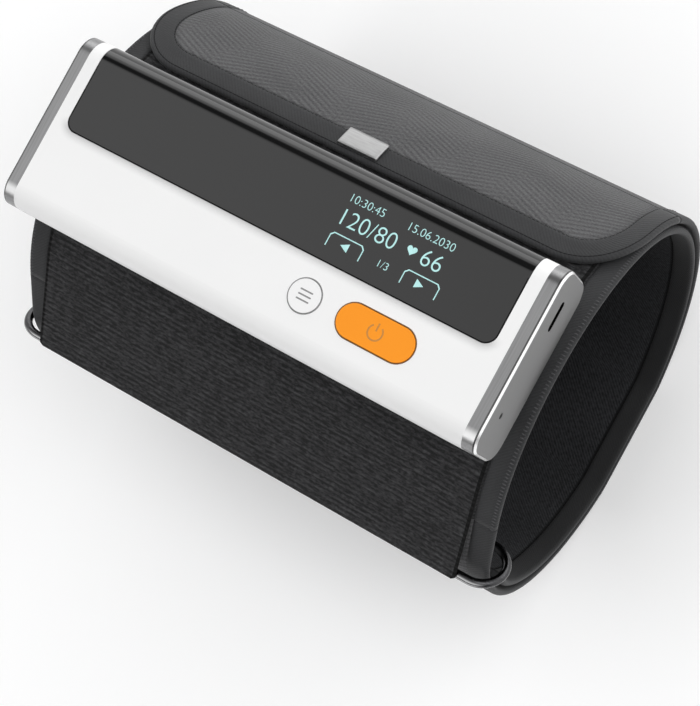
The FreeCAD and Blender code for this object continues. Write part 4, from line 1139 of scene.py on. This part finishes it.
def cap_hole(tree, places, node):
    """1 inside a node's box as seen from the end of the case, with a margin, and 0 round it."""
    low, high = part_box(node)
    middle, half = (low + high) / 2, (high - low) / 2
    inside = 1.0
    for axis in (1, 2):
        away = sums(tree, "ABSOLUTE", sums(tree, "SUBTRACT", places[axis], middle[axis]))
        inside = sums(tree, "MULTIPLY", inside, sums(tree, "LESS_THAN", away, half[axis] + HOLE_MARGIN))
    return inside


def cap_finish():
    """Blasted metal with its chamfer cut bare and painted bright as its highlight, a painted highlight on the
    lower bend, and painted shade on the end face, in a line inside the chamfer and inside the slot and the
    light's hole.
    """
    material = satin_metal(
        "cap_metal", (0.25, 0.25, 0.253), (0.31, 0.31, 0.313), 0.34, grain=(2500, 60, 2500))
    tree, shader = finish_nodes(material)
    places = object_places(tree)
    x, y = places[:2]
    reach = sums(tree, "ABSOLUTE", x)
    socket_mouth = cap_hole(tree, places, "charging_socket")
    hole = sums(tree, "MAXIMUM", socket_mouth, cap_hole(tree, places, "light_pipe"))
    hole = sums(tree, "MULTIPLY", hole, sums(tree, "GREATER_THAN", x, 0.0))
    masks = {
        # Painted highlight across the lower bend.
        "painted_bend_highlight": sums(tree, "MULTIPLY", fade(tree, y, BEND_HIGHLIGHT_START), one_minus(tree, fade(tree, y, BEND_HIGHLIGHT_END))),
        # Painted shade in a line just inside the chamfer.
        "line": sums(tree, "GREATER_THAN", reach, CAP_END - CAP_CHAMFER - CAP_LINE),
        # The chamfer, cut bare, and also painted bright as its highlight.
        "chamfer": sums(tree, "GREATER_THAN", reach, CAP_END - CAP_CHAMFER),
        # Painted shade over the end face.
        "end": sums(tree, "GREATER_THAN", reach, CAP_END - CAP_SKIN),
        # Painted shade inside the slot and the light's hole.
        "hole": sums(tree, "MULTIPLY", hole, sums(tree, "LESS_THAN", reach, CAP_END - HOLE_DEPTH)),
    }
    for place, tint in CAP_TINTS.items():
        tint_where(tree, shader, masks[place], (tint, tint, tint))
    return material


coat_nodes(cap_finish(), "end_cap_left", "end_cap_right")


# Window
# Dark polished glass over the upper half of the face, bent over the upper edge of the case. It lies
# in a recess of the front shell; a narrow black strip of painted shade marks the gap round it.
GLASS_TINT = 30
GLASS_CORNER_POINTS = 10
FACE_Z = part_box("front_housing")[1].z
WINDOW_GAP = 0.00028
GAP_DROP = 0.0065
GAP_TOP = glass_high.y - GAP_DROP
PRINT_LIFT = 0.00001
MONITOR_Y = -0.0025


def glass_finish():
    """Dark glass with a faint unevenness in its tint."""
    material, tree, shader = new_finish("dark_glass")
    tint = object_noise(tree, GLASS_TINT)
    shade_between(tree, shader, tint, (0.0075, 0.0075, 0.0077), (0.0085, 0.0085, 0.0087))
    set_surface(shader, Roughness=0.08, IOR=1.58)
    return material


coat_nodes(glass_finish(), "display_window")


def curve_mesh(curve):
    """The filled shape of a flat curve or of figures, as a mesh."""
    holder = new_piece(curve.name, curve)
    bpy.context.view_layer.update()
    mesh = bpy.data.meshes.new_from_object(holder.evaluated_get(bpy.context.evaluated_depsgraph_get()))
    bpy.data.objects.remove(holder)
    return mesh


def flat_outline(name, loops):
    """A print from closed outlines in the plane of the face."""
    curve = bpy.data.curves.new(name, "CURVE")
    curve.dimensions = "2D"
    curve.fill_mode = "BOTH"
    for points in loops:
        spline = curve.splines.new("POLY")
        spline.points.add(len(points) - 1)
        for point, (x, y) in zip(spline.points, points):
            point.co = (x, y, 0, 1)
        spline.use_cyclic_u = True
    return curve_mesh(curve)


def joined_piece(name, meshes, height):
    """One piece from several meshes, laid on the face at a height."""
    shaper = bmesh.new()
    for mesh in meshes:
        shaper.from_mesh(mesh)
    bmesh.ops.translate(shaper, verts=shaper.verts, vec=(0, MONITOR_Y, height))
    whole = bpy.data.meshes.new(name)
    shaper.to_mesh(whole)
    shaper.free()
    return new_piece(name, whole)


def window_edge(inset):
    """The glass's outline on the face, down one end, along its lower edge and up the other end."""
    corner_x, corner_y = glass_high.x - GLASS_CORNER, glass_low.y - MONITOR_Y + GLASS_CORNER
    radius = GLASS_CORNER - inset
    turns = np.radians(np.linspace(0, 90, GLASS_CORNER_POINTS))
    right = [(corner_x + radius * math.cos(t), corner_y - radius * math.sin(t)) for t in turns]
    side = [(glass_high.x - inset, GAP_TOP - MONITOR_Y)] + right
    return side + [(-x, y) for x, y in side[::-1]]


# Painted shade: a thin black strip on the face along the glass's ends and lower edge, for the gap.
window_gap_shade = joined_piece(
    "window_gap_shade", [flat_outline("window_gap_shade", [window_edge(0.0) + window_edge(WINDOW_GAP)[::-1]])],
    FACE_Z + PRINT_LIFT)
window_gap_shade.data.materials.append(
    moulded_finish("gap_painted_shade", (0.003, 0.003, 0.003), (0.006, 0.006, 0.006), 0.8, specular=0.1))
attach(window_gap_shade, "monitor")


# Lit readout
# What the display shows: plain numbers, a pulse sign and two soft keys in pale cyan. The real ones
# shine from behind the glass, and here they lie just above it.
READOUT_LIFT = 0.00002
READOUT_LINE = 0.00027
READOUT_GRAIN = 600
STROKE_TRIM = 0.012
SMALL_FIGURES = 0.0020
LARGE_FIGURES = 0.0040
PAGE_FIGURES = 0.0018
TOP_ROW_Y = 0.0148
CLOCK_X = 0.0150
DATE_X = 0.0312
MAIN_ROW_Y = 0.0089
PRESSURE_X = 0.0152
PULSE_X = 0.0374
PULSE_SIGN = {"x": 0.0345, "y": 0.0110, "size": 0.0026}
KEY_HEIGHTS = (0.0030, 0.0068)
LEFT_KEY = (0.0145, 0.0240)
RIGHT_KEY = (0.0353, 0.0450)
KEY_CORNER = 0.0008
KEY_INNER_CORNER = 0.001
PAGE_X = 0.0287
PAGE_Y = 0.0040
ARROW_Y = 0.0046
ARROW_SIZE = 0.0022
LEFT_ARROW_X = 0.0192
RIGHT_ARROW_X = 0.0401
HEART_POINTS = 40


def number_mesh(words, x, y, height):
    """Plain figures of a given height, from their lower left corner."""
    text = bpy.data.curves.new("figures", "FONT")
    text.body = words
    text.size = 1.0
    text.offset = -STROKE_TRIM
    mesh = curve_mesh(text)
    places = np.array([v.co for v in mesh.vertices])
    low, high = places.min(0), places.max(0)
    scale = height / (high[1] - low[1])
    mesh.transform(Matrix.Translation((x - scale * low[0], y - scale * low[1], 0)) @ Matrix.Scale(scale, 4))
    return mesh


def bracket(left, right, low, high, corner, edge):
    """One edge of a soft key's bracket, set in from the key's box by a line's width."""
    left, right, high = left + edge, right - edge, high - edge
    cut = corner - edge
    return [(left, low), (left, high - cut), (left + cut, high), (right - cut, high), (right, high - cut),
            (right, low)]


def soft_key(left, right, low, high):
    """A bracket round a soft key, open below."""
    outer = bracket(left, right, low, high, KEY_CORNER, 0.0)
    inner = bracket(left, right, low, high, KEY_INNER_CORNER, READOUT_LINE)
    return flat_outline("soft_key", [outer + inner[::-1]])


def heart(x, y, size):
    """The pulse sign, on the usual curve of a heart."""
    turns = np.linspace(0, 2 * math.pi, HEART_POINTS, endpoint=False)
    rises = 13 * np.cos(turns) - 5 * np.cos(2 * turns) - 2 * np.cos(3 * turns) - np.cos(4 * turns)
    points = [(x + size * math.sin(t) ** 3 / 2, y + size * rise / 32) for t, rise in zip(turns, rises)]
    return flat_outline("pulse_sign", [points])


def arrow(x, y, size, way):
    """A filled arrow that points left or right."""
    half = size / 2
    back, tip = x - way * half, x + way * half
    return flat_outline("arrow", [[(back, y - half), (tip, y), (back, y + half)]])


readout = joined_piece("display_readout", [
    number_mesh("10:30:45", CLOCK_X, TOP_ROW_Y, SMALL_FIGURES),
    number_mesh("15.06.2030", DATE_X, TOP_ROW_Y, SMALL_FIGURES),
    number_mesh("120/80", PRESSURE_X, MAIN_ROW_Y, LARGE_FIGURES),
    heart(**PULSE_SIGN),
    number_mesh("66", PULSE_X, MAIN_ROW_Y, LARGE_FIGURES),
    soft_key(*LEFT_KEY, *KEY_HEIGHTS),
    soft_key(*RIGHT_KEY, *KEY_HEIGHTS),
    number_mesh("1/3", PAGE_X, PAGE_Y, PAGE_FIGURES),
    arrow(LEFT_ARROW_X, ARROW_Y, ARROW_SIZE, -1),
    arrow(RIGHT_ARROW_X, ARROW_Y, ARROW_SIZE, 1),
], FACE_Z + READOUT_LIFT)


def lit_finish():
    """Pale cyan figures that glow a little."""
    material, tree, shader = new_finish("cyan_light")
    grain = object_noise(tree, READOUT_GRAIN)
    shade_between(tree, shader, grain, (0.32, 0.54, 0.533), (0.4, 0.63, 0.622))
    set_surface(shader, Emission_Color=(0.45, 0.9, 0.88, 1), Emission_Strength=0.25)
    return material


readout.data.materials.append(lit_finish())
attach(readout, "monitor")


# Buttons
# An orange start button with round ends and a round white menu button, each in a close hole with a
# thin line of painted shade round it for the gap. Their signs are printed on.
START_X = 0.0363
MENU_X = 0.0164
BUTTON_Y = -0.0098
START_LENGTH = 0.021
START_WIDTH = 0.0089
MENU_DIAMETER = 0.0085
GAP_SHADE_LINE = 0.00026
MENU_LINE = 0.0036
MENU_LINE_GAP = 0.0012
MENU_LINE_WIDTH = 0.00038
SIGN_RADIUS = 0.0019
SIGN_LINE = 0.00042
SIGN_OPENING = 38
SIGN_BAR = (0.2, 1.25)
SIGN_POINTS = 40
menu_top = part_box("menu_button")[1].z
start_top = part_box("start_stop_button")[1].z


def stadium_loop(x, y, length, width, margin=0.0, count=24):
    """The outline of a shape with round ends, widened by a margin."""
    radius = width / 2 + margin
    reach = (length - width) / 2
    turns = np.linspace(-math.pi / 2, math.pi / 2, count)
    right = [(x + reach + radius * math.cos(t), y + radius * math.sin(t)) for t in turns]
    left = [(x - reach - radius * math.cos(t), y - radius * math.sin(t)) for t in turns]
    return right + left


def print_finish(name, dark, light):
    """Matte printing ink."""
    return moulded_finish(name, dark, light, roughness=0.6, grain=2000, relief=0.000005)


def button_gap_shade(name, x, length, width, ink):
    """A thin line of painted shade round a button's hole, for the gap."""
    loops = [stadium_loop(x, BUTTON_Y, length, width, margin) for margin in (GAP_SHADE_LINE, 0.0)]
    piece = joined_piece(name, [flat_outline(name, loops)], FACE_Z + PRINT_LIFT)
    piece.data.materials.append(ink)
    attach(piece, "monitor")


# Grey ink for the menu sign, also used as the grey painted shade round the menu button.
grey_print_and_gap_shade = print_finish("grey_print_and_gap_shade", (0.2, 0.2, 0.2), (0.26, 0.26, 0.26))
brown_gap_shade = print_finish("brown_gap_shade", (0.14, 0.07, 0.02), (0.18, 0.09, 0.025))
# Painted shade round each button's hole: brown round the orange button, grey round the white one.
button_gap_shade("start_gap_shade", START_X, START_LENGTH, START_WIDTH, brown_gap_shade)
button_gap_shade("menu_gap_shade", MENU_X, MENU_DIAMETER, MENU_DIAMETER, grey_print_and_gap_shade)
menu_lines = [
    stadium_loop(MENU_X, BUTTON_Y + step * MENU_LINE_GAP, MENU_LINE, MENU_LINE_WIDTH, count=8)
    for step in (-1, 0, 1)]
menu_sign = joined_piece(
    "menu_sign", [flat_outline("menu_line", [line]) for line in menu_lines], menu_top + PRINT_LIFT)
menu_sign.data.materials.append(grey_print_and_gap_shade)
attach(menu_sign, "menu_button")


def power_sign():
    """A broken ring with a bar in its opening."""
    turns = np.radians(np.linspace(90 + SIGN_OPENING, 450 - SIGN_OPENING, SIGN_POINTS))
    half = SIGN_LINE / 2
    outer, inner = SIGN_RADIUS + half, SIGN_RADIUS - half
    ring = [(START_X + outer * math.cos(t), BUTTON_Y + outer * math.sin(t)) for t in turns]
    ring += [(START_X + inner * math.cos(t), BUTTON_Y + inner * math.sin(t)) for t in turns[::-1]]
    low, high = (BUTTON_Y + SIGN_RADIUS * share for share in SIGN_BAR)
    bar = [(START_X - half, low), (START_X + half, low), (START_X + half, high), (START_X - half, high)]
    return [flat_outline("ring", [ring]), flat_outline("bar", [bar])]


start_sign = joined_piece("start_sign", power_sign(), start_top + PRINT_LIFT)
start_sign.data.materials.append(print_finish("amber_print", (0.5, 0.2, 0.03), (0.56, 0.23, 0.035)))
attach(start_sign, "start_button")
button_orange = moulded_finish(
    "button_orange", (0.895, 0.283, 0.0085), (0.94, 0.313, 0.0105), roughness=0.42, grain=CASE_GRAIN,
    relief=0.000008, specular=0.25)
coat_nodes(button_orange, "start_stop_button")


# Floor, light and camera
# A plain pale floor under soft even studio light, with a dark flag behind for the glass to reflect.
# The camera stands where the photograph was taken from.
FLOOR_SIZE = 6.0
half_floor = FLOOR_SIZE / 2
floor_mesh = bpy.data.meshes.new("floor")
floor_mesh.from_pydata(
    [(-half_floor, -half_floor, 0), (half_floor, -half_floor, 0), (half_floor, half_floor, 0),
     (-half_floor, half_floor, 0)], [], [(0, 1, 2, 3)])
floor = new_piece("floor", floor_mesh)
pale_floor = new_finish("pale_floor")[0]
set_surface(
    finish_nodes(pale_floor)[1], Base_Color=(0.97, 0.97, 0.973, 1), Roughness=0.9, Specular_IOR_Level=0.0,
    Emission_Color=(1, 1, 1, 1), Emission_Strength=0.06)
floor.data.materials.append(pale_floor)

WORLD_LIGHT = 1.15
FLAG_SIDE = (0.25, 0.45)
FLAG_RISE = (0.5, 0.62)
FLAG_TOP = (0.86, 0.94)
FRONT_SIDE = (0.1, 0.5)
FRONT_RISE = (0.32, 0.54)
FRONT_SHADE = 0.95
BACK_SIDE = (0.45, 0.7)
BACK_RISE = (0.3, 0.46)
BACK_GLOW = 0.9
RIGHT_SIDE = (-0.5, -0.2)
RIGHT_RISE = (0.76, 0.86)
RIGHT_SHADE = 0.2


def studio_world():
    """White light, dim low in front, with a black flag and under it a bright strip behind."""
    world = bpy.data.worlds.new("studio")
    world.use_nodes = True
    tree = world.node_tree
    place = tree.nodes.new("ShaderNodeTexCoord")
    split = tree.nodes.new("ShaderNodeSeparateXYZ")
    tree.links.new(place.outputs["Generated"], split.inputs[0])
    x, y, z = split.outputs
    flag = sums(tree, "MULTIPLY", fade(tree, y, FLAG_SIDE), fade(tree, z, FLAG_RISE))
    flag = sums(tree, "MULTIPLY", flag, one_minus(tree, fade(tree, z, FLAG_TOP)))
    front = sums(tree, "MULTIPLY", fade(tree, sums(tree, "MULTIPLY", y, -1.0), FRONT_SIDE),
                 one_minus(tree, fade(tree, z, FRONT_RISE)))
    right = sums(tree, "MULTIPLY", fade(tree, x, RIGHT_SIDE), fade(tree, z, RIGHT_RISE))
    back = sums(tree, "MULTIPLY", fade(tree, y, BACK_SIDE), one_minus(tree, fade(tree, z, BACK_RISE)))
    level = weighted(tree, (one_minus(tree, flag), 1.0), (front, -FRONT_SHADE), (right, -RIGHT_SHADE),
                     (back, BACK_GLOW))
    strength = sums(tree, "MULTIPLY", sums(tree, "MAXIMUM", level, 0.0), WORLD_LIGHT)
    tree.links.new(strength, tree.nodes["Background"].inputs["Strength"])
    tree.nodes["Background"].inputs["Color"].default_value = (1, 1, 1, 1)
    return world


bpy.context.scene.world = studio_world()


def soft_box(name, place, aim, size, power):
    """A square soft light at a place, aimed at a point."""
    lamp = bpy.data.lights.new(name, "AREA")
    lamp.shape = "RECTANGLE"
    lamp.size = lamp.size_y = size
    lamp.energy = power
    holder = new_piece(name, lamp)
    holder.location = place
    holder.rotation_euler = (Vector(aim) - Vector(place)).to_track_quat("-Z", "Y").to_euler()


soft_box("key_light", place=(0.6, 0.45, 1.15), aim=(0, 0, 0.1), size=1.0, power=4.0)
soft_box("front_light", place=(-0.5, -0.98, 0.71), aim=(-0.05, 0, 0.12), size=0.25, power=0.6)

CAMERA_PLACE = (0.18995, -0.02947, 0.53738)
CAMERA_RIGHT = (0.8241135, 0.4780024, -0.3038923)
CAMERA_UP = (-0.4390137, 0.8780407, 0.1905557)
CAMERA_BACK = (0.3579159, -0.0236266, 0.9334549)
LENS = 96.9
SENSOR = 36
camera_data = bpy.data.cameras.new("photo_camera")
camera_data.lens = LENS
camera_data.sensor_width = SENSOR
camera = new_piece("photo_camera", camera_data)
axes = Matrix((CAMERA_RIGHT, CAMERA_UP, CAMERA_BACK)).transposed()
camera.matrix_world = Matrix.Translation(CAMERA_PLACE) @ axes.to_4x4()
bpy.context.scene.camera = camera
bpy.context.scene.view_settings.view_transform = "Standard"
